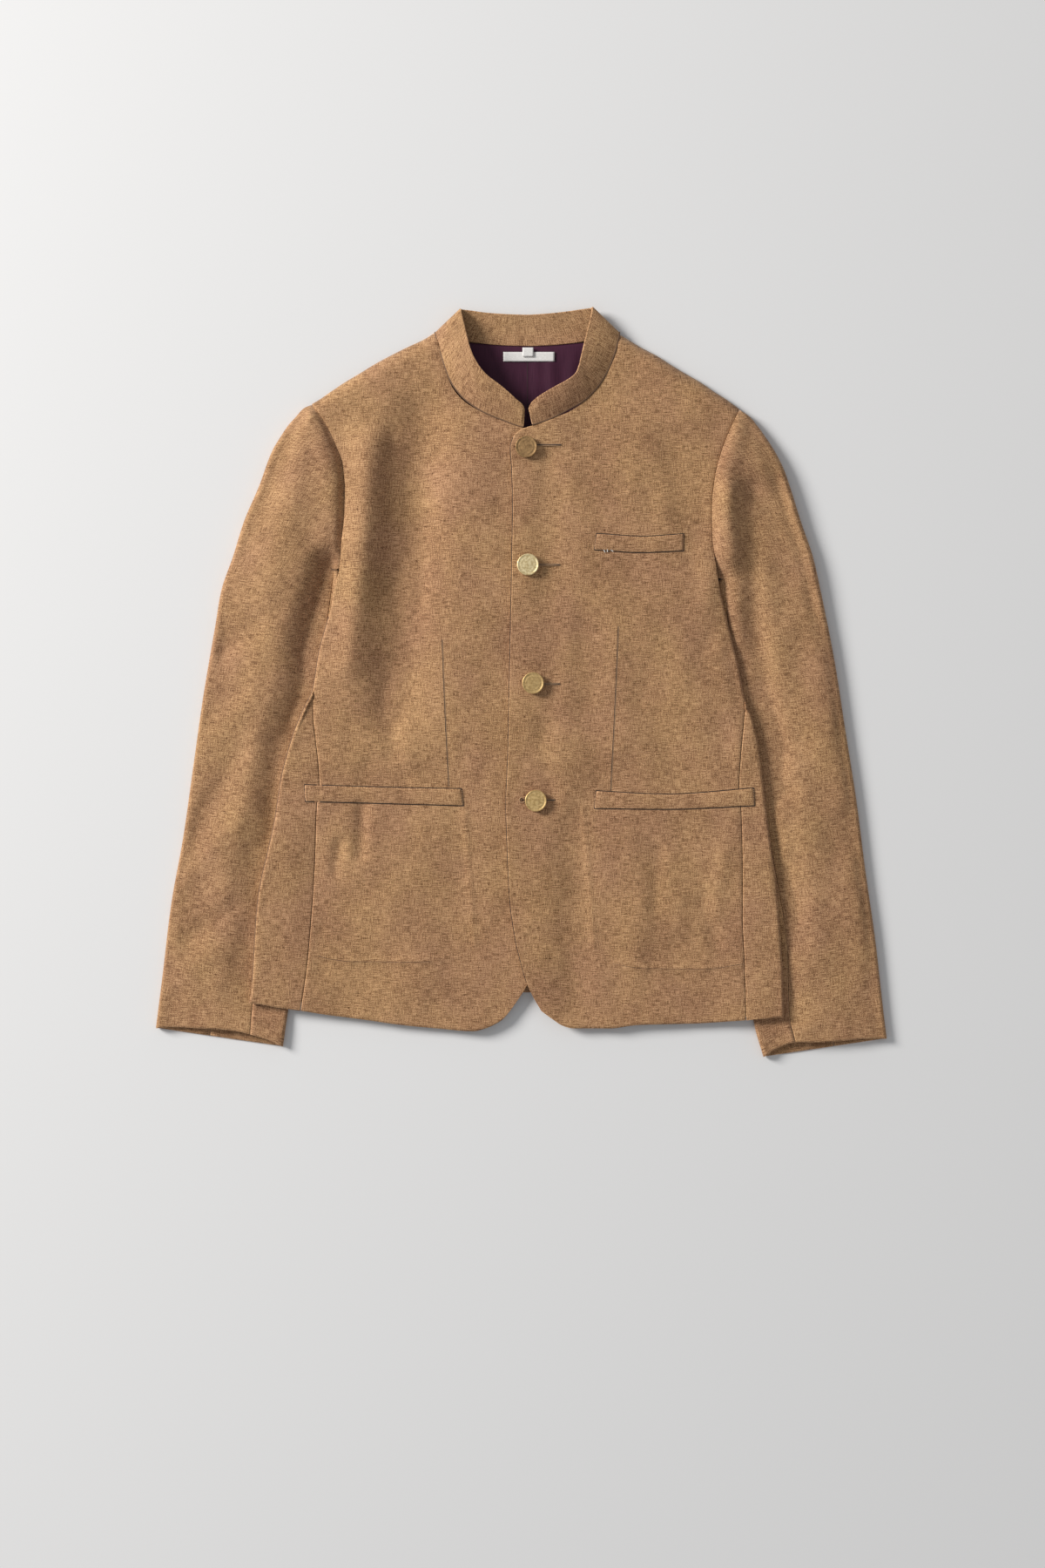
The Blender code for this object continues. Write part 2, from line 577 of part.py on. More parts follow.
def under_sleeve_grid(side):
    """Points of an under sleeve: rows up the sleeve, columns from front seam to hind seam."""
    grid = []
    for y in sleeve_rows(side):
        width, outer_radius, radius, seam, hind = sleeve_sizes(side, y)
        hind_from_inner = width - max(hind, outer_radius + 0.3) - SEAM_GAP
        if y <= PIT[side]:
            quarter = radius * math.pi / 2.0
            start = seam - SEAM_GAP / 2.0 + round_extra(radius)
            end = -(hind_from_inner + round_extra(radius))
            stops = [start, mix(start, quarter, 0.5), quarter, quarter / 2.0, 0.0,
                     -quarter / 2.0, -quarter]
            stops += [mix(-quarter, end, share) for share in (0.25, 0.5, 0.75, 1.0)]
            grid.append([sleeve_point(side, y, stop, "inner") for stop in stops])
            continue
        inner, outer = sleeve_row(side, y)
        line = []
        for share in (0.0, 0.06, 0.12, 0.18, 0.25, 0.33, 0.42, 0.56, 0.70, 0.85, 1.0):
            from_inner = mix(SEAM_GAP / 2.0, hind_from_inner, share)
            place = mix(inner, outer, from_inner / width)
            line.append((place.x, place.y, 0.0))
        grid.append(line)
    return grid


def back_grid():
    """Points of the back: rows from the hem to the neck and shoulders."""
    columns = [index / 8.0 for index in range(9)]
    ends = []
    for side in ("right", "left"):
        line = [(read(SLEEVE_INNER[side], BACK_HEM[side]) - BACK_SEAM_INSIDE, BACK_HEM[side])]
        for y in side_heights(side):
            line.append((read(SLEEVE_INNER[side], y) - BACK_SEAM_INSIDE, y))
        line[-1] = (line[-1][0], line[-1][1] + 1.0)
        for y in armhole_heights(side):
            line.append((read(TORSO_EDGE[side], y), y))
        line.append((TORSO_EDGE[side][-1][1], TORSO_EDGE[side][-1][0]))
        ends.append([Vector((SIGN[side] * (x - SEAM_GAP / 2.0), y)) for x, y in line])
    neck = [Vector(point) for point in BACK_NECK]
    top = ([Vector((-x, y)) for x, y in reversed(SHOULDER["right"])] + neck[1:-1]
           + [Vector((x, y)) for x, y in SHOULDER["left"]])
    grid = []
    for index, (right, left) in enumerate(zip(*ends)):
        up = index / (len(ends[0]) - 1)
        line = []
        for across in columns:
            point = mix(right, left, across)
            middle_hem = (BACK_HEM_MIDDLE - mix(BACK_HEM["right"], BACK_HEM["left"], across))
            point.y += middle_hem * smooth(1.0 - 3.0 * up) * math.sin(math.pi * across) ** 0.7
            shoulder = Vector(along([tuple(each) for each in top], across))
            bend = shoulder - mix(ends[0][-1], ends[1][-1], across)
            point += bend * smooth(up * 2.2 - 1.2)
            line.append((point.x, point.y, 0.0))
        grid.append(line)
    return grid


def collar_grid():
    """Points of the collar's outer face: ribs round the neck, from seam to free edge."""
    ribs = list(COLLAR_RIBS["left"]) + list(reversed(COLLAR_RIBS["right"]))
    grid = []
    for index, (seam_x, seam_y, seam_z, edge_x, edge_y, edge_z) in enumerate(ribs):
        if seam_z is None:
            lift = lap_raise(seam_x) if index < len(COLLAR_RIBS["left"]) else 0.0
            seam_z = front_top(seam_x, seam_y) + lift
        seam, edge = Vector((seam_x, seam_y, seam_z)), Vector((edge_x, edge_y, edge_z))
        line = []
        for share in (0.0, 0.3, 0.65, 1.0):
            point = mix(seam, edge, share)
            upper = smooth((seam_z + edge_z - 14.0) / 14.0)
            point.z += COLLAR_BULGE * upper * math.sin(math.pi * share)
            line.append(tuple(point))
        grid.append(line)
    return grid


def flat_grid(outline, height, columns, rows):
    """Points of a flat rectangular piece."""
    left, right, bottom, top = outline
    return [[(mix(left, right, column / columns), mix(bottom, top, row / rows), height)
             for column in range(columns + 1)] for row in range(rows + 1)]


def material(name):
    """Principled material with a named look."""
    if name in bpy.data.materials:
        return bpy.data.materials[name]
    colour, roughness, metallic = LOOKS[name]
    made = bpy.data.materials.new(name)
    made.use_nodes = True
    shader = made.node_tree.nodes["Principled BSDF"]
    shader.inputs["Base Color"].default_value = (*colour, 1.0)
    shader.inputs["Roughness"].default_value = roughness
    shader.inputs["Metallic"].default_value = metallic
    return made


def panel(name, grid, facing_up, thickness, look, collection):
    """Cloth piece: an open surface through a grid of points, thickened inward."""
    mesh = bpy.data.meshes.new(name)
    shape = bmesh.new()
    corners = [[shape.verts.new(Vector(point) * MM) for point in line] for line in grid]
    for lower, upper in zip(corners, corners[1:]):
        for index in range(len(lower) - 1):
            ring = [lower[index], lower[index + 1], upper[index + 1], upper[index]]
            shape.faces.new(ring)
    shape.normal_update()
    shape.faces.ensure_lookup_table()
    first_row_end = shape.faces[len(grid[0]) - 2]
    if (first_row_end.normal.z > 0.0) != facing_up:
        bmesh.ops.reverse_faces(shape, faces=shape.faces[:])
    shape.to_mesh(mesh)
    shape.free()
    mesh.shade_smooth()
    made = bpy.data.objects.new(name, mesh)
    collection.objects.link(made)
    mesh.materials.append(material(look))
    thicken = made.modifiers.new("cloth", "SOLIDIFY")
    thicken.thickness = thickness * MM
    thicken.offset = -1.0
    return made


def surface_under(objects, x, y):
    """Height of the highest face of some pieces at a place, in millimetres."""
    graph = bpy.context.evaluated_depsgraph_get()
    heights = []
    for each in objects:
        tree = BVHTree.FromObject(each, graph)
        hit = tree.ray_cast(Vector((x * MM, y * MM, 0.2)), Vector((0.0, 0.0, -1.0)))
        if hit[0] is not None:
            heights.append(hit[0].z / MM)
    return max(heights)


def welt(name, panels, collection):
    """Pocket welt: a strip that lies on the panels it crosses."""
    upper, lower = WELTS[name]
    steps = 14
    grid = []
    for share in (0.0, 0.5, 1.0):
        line = []
        for step in range(steps + 1):
            top, bottom = along(upper, step / steps), along(lower, step / steps)
            x, y = mix(bottom[0], top[0], share), mix(bottom[1], top[1], share)
            line.append((x, y, surface_under(panels, x, y) + LYING_GAP + WELT_CLOTH))
        grid.append(line)
    return panel(name, grid, True, WELT_CLOTH, "linen", collection)


def cutter(name, maker, place, scale, collection):
    """Solid that cuts a hole, hidden from view."""
    maker(location=place)
    made = bpy.context.object
    made.name = name
    made.scale = scale
    bpy.context.view_layer.update()
    made.data.transform(made.matrix_world)
    made.matrix_world.identity()
    made.location, made.scale = (0.0, 0.0, 0.0), (1.0, 1.0, 1.0)
    for each in list(made.users_collection):
        each.objects.unlink(made)
    collection.objects.link(made)
    made.hide_render = True
    made.display_type = "WIRE"
    return made


def cut_buttonholes(front, cutters):
    """Cut each buttonhole's slit and eye, and the place where its button passes through."""
    for index, (button_x, button_y, eye_x, end_x, slit_y) in enumerate(BUTTONS, start=1):
        z = front_top(button_x, button_y) * MM
        slit = ((eye_x + end_x) / 2.0 * MM, slit_y * MM, z)
        slit_size = ((end_x - eye_x) / 2.0 * MM, SLIT_WIDTH / 2.0 * MM, 0.012)
        holes = [cutter(f"slit_{index}", bpy.ops.mesh.primitive_cube_add, slit, slit_size,
                        cutters)]
        for name, x, y, size in (("eye", eye_x, slit_y, EYE_DIAMETER),
                                 ("passage", button_x, button_y, SHANK_HOLE)):
            def ring(location):
                bpy.ops.mesh.primitive_cylinder_add(vertices=12, location=location)
            scale = (size / 2.0 * MM, size / 2.0 * MM, 0.0125)
            holes.append(cutter(f"{name}_{index}", ring, (x * MM, y * MM, z), scale, cutters))
        for hole in holes:
            cut = front.modifiers.new(hole.name, "BOOLEAN")
            cut.object = hole
            cut.operation = "DIFFERENCE"
            cut.solver = "EXACT"


def button(index, under, collection):
    """Shank button: a turned disc with a low rim, whose shank reaches the front under it."""
    x, y = BUTTONS[index - 1][:2]
    top_cloth = front_top(x, y) + lap_raise(x)
    foot = surface_under([under], x, y) + LYING_GAP
    bottom = top_cloth + BUTTON_LIFT
    radius, shank = BUTTON_DIAMETER / 2.0, SHANK_DIAMETER / 2.0
    top = bottom + BUTTON_THICKNESS
    profile = [(0.0, top - 0.3), (radius - BUTTON_RIM - 0.6, top - 0.3),
               (radius - BUTTON_RIM, top), (radius, top - 0.5), (radius - 0.4, bottom),
               (shank, bottom), (shank, foot), (0.0, foot)]
    mesh = bpy.data.meshes.new(f"button_{index}")
    shape = bmesh.new()
    corners = [shape.verts.new(Vector((out, 0.0, up - foot)) * MM) for out, up in profile]
    for start, end in zip(corners, corners[1:]):
        shape.edges.new((start, end))
    shape.to_mesh(mesh)
    shape.free()
    made = bpy.data.objects.new(f"button_{index}", mesh)
    made.location = Vector((x, y, foot)) * MM
    collection.objects.link(made)
    mesh.materials.append(material("brass"))
    turn = made.modifiers.new("turned", "SCREW")
    turn.steps = turn.render_steps = 16
    turn.use_merge_vertices = True
    turn.merge_threshold = 0.00001
    turn.use_smooth_shade = True
    return made


def clear_scene():
    """Remove what a new scene holds."""
    for each in list(bpy.data.objects):
        bpy.data.objects.remove(each)


def build():
    """Make every piece of the jacket."""
    clear_scene()
    jacket = bpy.data.collections.new("linen_jacket")
    cutters = bpy.data.collections.new("cutters")
    for collection in (jacket, cutters):
        bpy.context.scene.collection.children.link(collection)

    panel("back", back_grid(), False, CLOTH, "linen", jacket)
    fronts, sides = {}, {}
    for side in ("left", "right"):
        fronts[side] = panel(f"front_{side}", front_grid(side), True, CLOTH, "linen", jacket)
        sides[side] = panel(f"side_{side}", side_grid(side), False, CLOTH, "linen", jacket)
        panel(f"top_sleeve_{side}", top_sleeve_grid(side), True, CLOTH, "linen", jacket)
        panel(f"under_sleeve_{side}", under_sleeve_grid(side), False, CLOTH, "linen", jacket)
    panel("collar", collar_grid(), True, COLLAR_CLOTH, "linen", jacket)

    layer = CLOTH + LYING_GAP + LINING_CLOTH
    panel("back_lining", flat_grid(LINING, layer, 8, 6), True, LINING_CLOTH, "lining", jacket)
    layer += LYING_GAP + LINING_CLOTH
    panel("label", flat_grid(LABEL, layer, 4, 1), True, LINING_CLOTH, "woven_label", jacket)
    layer += LYING_GAP + LINING_CLOTH
    panel("size_tab", flat_grid(SIZE_TAB, layer, 1, 1), True, LINING_CLOTH, "woven_label",
          jacket)

    bpy.context.view_layer.update()
    welt("chest_welt", [fronts["left"]], jacket)
    for side in ("left", "right"):
        welt(f"welt_{side}", [fronts[side], sides[side]], jacket)
    for index in range(1, len(BUTTONS) + 1):
        button(index, fronts["right"], jacket)
    cut_buttonholes(fronts["left"], cutters)


build()
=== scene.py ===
"""Looks of the linen jacket laid flat: fine cloth, sewing, buttons, light and camera.

Tables are in millimetres, as the part's own, and the meshes in metres.
"""

import math
from bisect import bisect_right

import bmesh
import bpy
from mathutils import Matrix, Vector, noise
from mathutils.bvhtree import BVHTree

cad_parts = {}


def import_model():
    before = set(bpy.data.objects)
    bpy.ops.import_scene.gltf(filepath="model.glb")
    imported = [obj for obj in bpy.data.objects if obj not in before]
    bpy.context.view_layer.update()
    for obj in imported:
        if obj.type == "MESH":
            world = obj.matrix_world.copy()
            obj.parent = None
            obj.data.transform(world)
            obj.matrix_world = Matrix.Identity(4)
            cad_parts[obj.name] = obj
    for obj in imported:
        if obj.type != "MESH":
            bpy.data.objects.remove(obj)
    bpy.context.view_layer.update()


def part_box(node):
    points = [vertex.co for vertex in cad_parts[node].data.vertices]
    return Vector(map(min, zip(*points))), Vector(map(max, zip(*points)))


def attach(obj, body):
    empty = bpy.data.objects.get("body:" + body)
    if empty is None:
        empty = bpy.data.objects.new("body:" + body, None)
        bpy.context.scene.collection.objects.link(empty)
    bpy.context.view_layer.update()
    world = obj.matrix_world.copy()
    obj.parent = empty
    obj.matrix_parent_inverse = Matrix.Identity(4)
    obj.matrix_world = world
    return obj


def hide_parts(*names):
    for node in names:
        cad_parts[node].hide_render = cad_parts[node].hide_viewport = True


MM = 0.001
SIGN = {"left": 1.0, "right": -1.0}

# Cloth: thickness of each kind, the gaps, the lap, and how the fronts' form blends
CLOTH, COLLAR_CLOTH, LINING_CLOTH, WELT_CLOTH = 1.6, 2.2, 1.0, 1.1
SEAM_GAP, LYING_GAP = 0.4, 0.4
LAP_RAISE, LAP_FLAT_TO, LAP_EASE = 2.5, 32.0, 36.0
SIDE_BLEND, FOLD_FADE, LOWEST_FOLD = 90.0, 30.0, -330.0

# Where each side's armpit lies, and where its front seam turns under the side
PIT = {"left": 101.8, "right": 111.4}
SEAM_TURN = {"left": -18.0, "right": -7.0}
SHOULDER_ROLL, SHOULDER_MID = 14.0, 2.4
SHOULDER_SLOPE = math.cos(math.radians(30.0))

# Side of the body and armhole: height in the photo, distance from the middle
TORSO_EDGE = {
    "left": [(-334.6, 262.5), (-294, 261.5), (-238, 257.8), (-189, 253.0), (-137, 246.0),
             (-101, 241.8), (-68, 237.7), (-48, 233.7), (-33, 229.7), (-18, 223.8),
             (13, 217.6), (46, 209.6), (76, 202.0), (101.8, 196.5), (119, 193.9),
             (145, 190.5), (173, 190.0), (204, 193.0), (231, 199.9), (259, 211.2),
             (273.8, 218.7)],
    "right": [(-320.9, 272.6), (-308, 270.0), (-222, 264.0), (-137, 246.5), (-114, 243.0),
              (-93, 239.5), (-68, 233.0), (-45, 225.5), (-25, 217.0), (-7, 208.6),
              (29, 202.7), (52, 196.6), (73, 190.5), (91, 188.0), (111.4, 182.0),
              (142, 179.4), (167, 176.9), (194, 176.4), (217, 178.6), (235, 185.2),
              (257, 195.3), (278.8, 210.4)],
}

# Shoulder line: distance from the middle, height in the photo
SHOULDER = {
    "left": [(97.8, 349.0), (106, 344.0), (119, 336.0), (136, 327.0), (150, 318.0),
             (165, 309.0), (179, 301.0), (192, 292.0), (206, 283.0), (218.7, 273.8)],
    "right": [(86.0, 351.0), (97, 344.0), (114, 336.0), (132, 327.0), (148.5, 318.0),
              (163, 309.0), (176.5, 301.0), (190, 292.0), (203, 283.0), (210.4, 278.8)],
}

# Seam between front and side panel: height in the photo, distance from the middle
FRONT_SEAM = {
    "left": [(-338.0, 224.6), (-281, 223.0), (-238, 221.0), (-181, 220.8), (-128, 219.5),
             (-109, 217.4), (-74, 219.0), (-42, 222.0), (-18, 223.8)],
    "right": [(-328.6, 220.9), (-280, 214.0), (-238, 210.4), (-181, 206.7), (-124, 204.5),
              (-102, 202.0), (-81, 203.0), (-58, 205.8), (-30, 208.4), (-7, 208.6)],
}

# Front edge from the hem's round corner up: height in the photo, x
FRONT_EDGE = {
    "left": [(-329.0, 20.0), (-313, 10.8), (-301, 5.7), (-280, -0.4), (-259, -5.4),
             (-219, -11.2), (-161, -14.1), (-124, -15.1), (-67, -13.1), (-14, -12.0),
             (73, -10.2), (143, -8.9), (176, -8.4), (210, -9.2), (234, -10.6), (246.0, -7.0)],
    "right": [(-326.0, -9.0), (-308, 2.9), (-303, 5.7), (-280, 13.0), (-259, 18.0),
              (-219, 25.0), (-161, 29.0), (-118, 30.5), (0, 28.0), (116, 24.0),
              (233, 22.0), (249.0, 21.0)],
}

# Neck seam of each front, from the front edge to the shoulder: x, y
NECK_SEAM = {
    "left": [(-7.0, 246.0), (-2.0, 250.3), (4.5, 253.3), (15, 256.5), (30, 262.0),
             (48.7, 270.0), (71, 287.5), (84, 305.0), (94, 328.0), (97.8, 349.0)],
    "right": [(21.0, 249.0), (1.4, 253.4), (-12.7, 258.0), (-37, 268.0), (-57, 280.0),
              (-70, 296.0), (-79, 322.0), (-86, 351.0)],
}

# Hem of each front, from the round corner to the side: x, y
HEM = {
    "left": [(20.0, -329.0), (30.9, -337.0), (42, -344.0), (53, -346.5), (88.6, -346.5),
             (117, -343.0), (173.5, -341.7), (224.6, -338.0)],
    "right": [(-9.0, -326.0), (-19.4, -338.0), (-36, -346.5), (-48.4, -349.3), (-86, -346.5),
              (-121, -343.0), (-156, -338.0), (-197, -332.6), (-220.9, -328.6)],
}

# Outer edge of each sleeve: height in the photo, distance from the middle
SLEEVE_OUTER = {
    "left": [(-357.0, 366.5), (-329, 363.0), (-259, 355.0), (-189, 345.0), (-119, 336.0),
             (-49, 325.0), (21, 314.0), (91, 300.0), (126, 292.0), (161, 280.0), (196, 269.0),
             (213, 263.0), (231, 254.0), (248, 243.0), (257, 236.5), (266, 229.0),
             (273.8, 219.2)],
    "right": [(-346.7, 366.7), (-294, 360.0), (-224, 351.5), (-154, 339.0), (-84, 329.0),
              (-14, 319.0), (56, 307.0), (91, 301.0), (126, 289.0), (161, 278.0), (196, 263.0),
              (231, 250.0), (248, 240.0), (257, 234.0), (266, 226.0), (274, 219.0),
              (278.8, 211.0)],
}

# Inner edge of each sleeve, under the body: height in the photo, distance from the middle
SLEEVE_INNER = {
    "left": [(-375.6, 242.6), (-340, 233.0), (-220, 220.0), (-102, 208.0), (0, 200.0),
             (101.8, 196.5)],
    "right": [(-365.1, 239.1), (-321, 233.0), (-215, 218.0), (-114, 205.0), (0, 190.0),
              (111.4, 182.0)],
}

# How much higher the outer end of a sleeve's row lies: height above the armpit, slant
SLEEVE_SLANT = [(-477, 18.5), (0, 15.0), (60, 12.0), (126, 7.0), (154, 4.5), (166, 0.6)]

# Front seam of each sleeve: height in the photo, distance from the inner edge
SLEEVE_SEAM = {
    "left": [(-376, 32.0), (-321, 38.0), (-266, 42.0), (-200, 38.0), (-100, 30.0), (0, 18.0),
             (60, 9.0), (101.8, 6.0)],
    "right": [(-365, 33.0), (-320, 36.0), (-200, 31.0), (-100, 24.0), (0, 14.0), (60, 9.0),
              (111.4, 6.0)],
}
HIND_SEAM_SHARE = 0.42
CUFF_EASE, HEM_CLEAR, SLEEVE_CLEAR = 20.0, 10.0, 1.5
LOW_COVER, COVER_EXTRA = 7.0, 0.8

# Sleeve's upper face: widest fold, and the shares of the width over which it rises
WIDEST_FOLD, OUTER_RISE, INNER_REACH = 0.45, 0.42, 0.40
HIGH_RISE = {"left": 0.95, "right": 0.42}
HIGH_RISE_FROM, HIGH_RISE_OVER = -60.0, 90.0

# Middle of the fronts: height in the photo, height of the outer face
CENTRE_TOP = [(-350, 8.6), (-300, 8.8), (-100, 10.6), (0, 12.5), (100, 15.0), (200, 16.5),
              (255, 16.5), (300, 15.0), (350, 12.5)]

# Stations: shares of the armhole, heights below the waist, shares from seam turn to armpit
ARMHOLE_SHARES = (0.11, 0.24, 0.37, 0.50, 0.63, 0.76, 0.87, 0.925, 0.973, 0.991)
LOW_STATIONS = [-300.0, -262.0, -222.0, -180.0, -140.0, -105.0, -72.0]
HIGH_SHARES = (0.3, 0.55, 0.8)
TURN_STEP = 26.0
SLEEVE_SHARES = (0.0, 0.11, 0.23, 0.36, 0.49, 0.62, 0.74, 0.84, 0.92)
NECK_ROWS = 8

# Side: height above the armpit, sleeve's height under the body, radius of the body's fold
PRESSED, FOLD_RADIUS = 1, 2
SIDE_HEIGHTS = [(-477, 7.6, 3.0), (-463, 7.2, 3.0), (-442, 6.0, 3.0), (-75, 6.0, 3.0),
                (0, 10.0, 2.5)]
OVER_SLEEVE = 0.9

# Armhole: height above the armpit, height of the front's outer face
ARMHOLE_TOP = [(0, 15.8), (18, 15.4), (60, 15.0), (100, 14.2), (150, 12.8), (175, 12.0)]

# Sleeve: height above the armpit, crest, radius of the outer fold, ridge beside the armhole
CREST, OUTER_RADIUS, RIDGE = 1, 2, 3
RIDGE_PLACE, RIDGE_WIDTH, RIDGE_START = 9.0, 11.0, 7.0
ARMHOLE_STEP, ARMHOLE_REACH, PIT_EASE = 0.4, 24.0, 30.0
SLEEVE_HEIGHTS = [(-477, 8.8, 3.6, 0.0), (-400, 9.8, 3.8, 0.0), (-300, 11.5, 4.0, 0.0),
                  (-150, 14.5, 4.6, 0.0), (-60, 17.0, 5.2, 0.0), (0, 19.0, 6.0, 0.0),
                  (20, 19.5, 6.0, 3.5), (70, 20.5, 6.4, 4.5), (110, 19.5, 6.2, 4.0),
                  (145, 16.0, 5.4, 2.5), (160, 12.5, 4.4, 1.0), (167, 10.0, 3.6, 0.0)]

# What the fine cloth has beyond the solid: its least heights, the roll at the armpit and
# at the left sleeve's outer edge, and the cuffs
FRONT_LEAST, FRONT_EASE, PRESSED_LEAST = 4.6, 0.9, 4.6
PIT_FADE, EDGE_ROLL, EDGE_ROLL_SHARE = 12.0, 16.0, 0.35
UPPER_FROM, UPPER_EASE = 2.6, 1.6

# Cuff: share of the width from the inner edge, how far its upper layer is drawn back
CUFF_BOW_REACH = 60.0
CUFF_BOW = {"left": [(0.0, 0.0), (0.12, 7.0), (0.24, 10.5), (0.38, 8.0), (0.56, 5.5), (0.8, 3.8),
                     (1.0, 0.0)],
            "right": [(0.0, 0.0), (0.15, 6.0), (0.38, 9.0), (0.65, 6.5), (0.85, 4.0), (1.0, 0.0)]}

# Largest folds of the fronts: start x, y, end x, y, half width, height
FRONT_FOLDS = [(-100, 262, -117, 95, 26, -5.5), (-117, 95, -134, -30, 22, -3.0),
               (-160, 205, -163, 60, 20, 1.8), (62, -130, 44, -330, 24, -1.4),
               (120, 220, 150, 60, 40, 1.2)]

# Collar ribs, from the front tip round to the back: seam x, y, z, free edge x, y, z.
# A seam height of None is read from the front that the rib stands on.
COLLAR_RIBS = {
    "left": [(10.9, 256.0, None, 7.0, 271.5, 22.5), (14.5, 257.0, None, 9.4, 276.5, 23.5),
             (21.0, 259.2, None, 15.6, 282.2, 25.0), (31.0, 263.0, None, 25.0, 288.0, 26.5),
             (41.0, 268.2, None, 34.0, 293.0, 27.5), (49.6, 272.9, None, 43.0, 297.6, 28.0),
             (61.0, 279.5, None, 50.0, 302.0, 28.0), (71.5, 289.0, None, 55.5, 308.0, 27.5),
             (79.0, 298.5, None, 57.6, 314.5, 26.5), (85.0, 308.5, None, 59.3, 322.0, 25.5),
             (90.5, 321.0, None, 61.5, 332.0, 23.5), (94.5, 333.0, None, 64.4, 345.0, 20.5),
             (96.8, 343.0, 11.0, 68.4, 361.0, 17.0), (98.0, 349.0, 8.2, 71.0, 373.5, 14.0),
             (98.2, 350.6, 5.4, 71.4, 375.3, 10.6), (96.4, 350.0, 2.0, 69.6, 374.8, 7.4),
             (90.0, 347.6, 0.2, 64.0, 374.2, 6.0), (78.0, 344.4, 0.0, 56.0, 373.2, 5.2),
             (64.0, 342.0, 0.0, 45.0, 371.6, 5.0), (44.0, 339.4, 0.0, 32.0, 370.0, 5.0),
             (26.0, 338.0, 0.0, 19.0, 369.0, 5.0), (8.0, 337.4, 0.0, 4.8, 368.4, 5.0)],
    "right": [(2.2, 254.6, None, 3.2, 270.5, 22.5), (-1.2, 255.0, None, 1.6, 274.8, 23.5),
              (-7.5, 256.8, None, -5.0, 280.4, 25.0), (-16.0, 260.0, None, -13.5, 288.0, 26.5),
              (-27.0, 264.4, None, -24.0, 296.4, 27.5), (-37.5, 269.0, None, -32.6, 302.6, 28.0),
              (-48.0, 275.4, None, -39.0, 309.0, 28.0), (-57.5, 283.0, None, -44.6, 317.0, 27.5),
              (-64.5, 291.0, None, -48.6, 325.0, 26.5), (-70.5, 300.0, None, -51.6, 333.0, 25.5),
              (-75.5, 312.0, None, -54.0, 342.5, 23.5), (-79.6, 325.0, None, -56.4, 353.0, 20.5),
              (-83.4, 338.0, 11.4, -58.6, 363.0, 17.5), (-85.8, 347.5, 8.6, -60.4, 371.0, 14.4),
              (-86.6, 350.4, 5.6, -61.2, 373.5, 11.0), (-85.0, 350.6, 2.0, -59.8, 373.4, 7.6),
              (-79.0, 348.0, 0.2, -55.0, 373.0, 6.0), (-67.0, 344.4, 0.0, -47.0, 372.0, 5.2),
              (-54.0, 342.0, 0.0, -38.0, 370.8, 5.0), (-36.0, 339.6, 0.0, -26.0, 369.6, 5.0),
              (-18.0, 338.0, 0.0, -13.0, 368.8, 5.0)],
}
COLLAR_BULGE = 2.6

# Back: neck seam, x, y, and its hem at the middle
BACK_NECK = [(-84.0, 346.6), (-54, 340.4), (-18, 336.6), (8, 336.0), (26, 336.6), (64, 340.4),
             (95.0, 346.0)]
BACK_HEM_MIDDLE = -311.0
BACK_SEAM_INSIDE = 19.0
BACK_HEM = {"left": -333.0, "right": -322.0}

# Neck lining, label and size tab, lying one on the other: x from, x to, y from, y to
LINING = (-78.0, 86.0, 250.0, 335.6)
LABEL = (-18.2, 33.3, 321.7, 331.2)
SIZE_TAB = (1.1, 12.1, 326.3, 335.4)

# Welts: upper and lower edge at three places along each, x, y
WELTS = {
    "chest_welt": [[(75, 147.4), (122, 144.6), (162, 147.4)],
                   [(72.8, 131.9), (120, 129.2), (161.6, 131.0)]],
    "welt_right": [[(-217, -103.0), (-121, -105.8), (-60, -107.0)],
                   [(-216, -119.0), (-121, -121.5), (-57.8, -123.3)]],
    "welt_left": [[(74.6, -109.0), (145, -112.4), (232, -106.4)],
                  [(72.8, -126.0), (145, -126.8), (233.2, -123.2)]],
}

# Buttons, top to bottom: x, y, buttonhole's eye x, buttonhole's end x, its y
BUTTONS = [(4.8, 233.5, 9.0, 39.3, 236.0), (6.5, 116.5, 9.0, 38.0, 116.8),
           (11.6, -1.3, 9.0, 38.0, -2.0), (14.4, -118.6, 0.7, 33.0, -117.9)]
BUTTON_DIAMETER, BUTTON_THICKNESS, SHANK_DIAMETER = 21.7, 2.2, 3.2
# Turned face of a button, from its middle to its rim: radius, depth below the highest ring
BUTTON_FACE = [(0.0, 0.10), (2.5, 0.13), (5.0, 0.24), (6.6, 0.34), (7.0, 0.24), (7.4, 0.36),
               (9.15, 0.42), (9.65, 0.10), (10.15, 0.0), (10.6, 0.15), (10.85, 0.6)]

# Fine cloth: spacing of its points, thickness, groove at a seam, relief and its waves
FINE_STEP, FRONT_COLUMNS, THIN = 2.4, 96, 1.1
EDGE_COLUMNS = (0.0, 0.004, 0.008, 0.012)
SEAM_DIP, SEAM_SPREAD = 0.55, 1.8
BROAD_RELIEF, BROAD_WAVE = 1.5, (46.0, 62.0)
FINE_RELIEF, FINE_WAVE = 0.55, (17.0, 24.0)
SLEEVE_WRINKLE = 1.3
COLLAR_STEPS = [0.0, 0.03, 0.08, 0.16, 0.26, 0.38, 0.5, 0.62, 0.74, 0.84, 0.92, 0.97, 1.0]
THREAD_PITCH, WEAVE_RELIEF, YARN_RELIEF = 0.95, 0.16, 0.00028
# How much lighter the cloth is painted at each piece's border (a painted highlight), then plain
# white and the flecks' tint
EDGE_HIGHLIGHT, PLAIN, FLECK = 1.3, (1.0, 1.0, 1.0), (0.50, 0.42, 0.38)
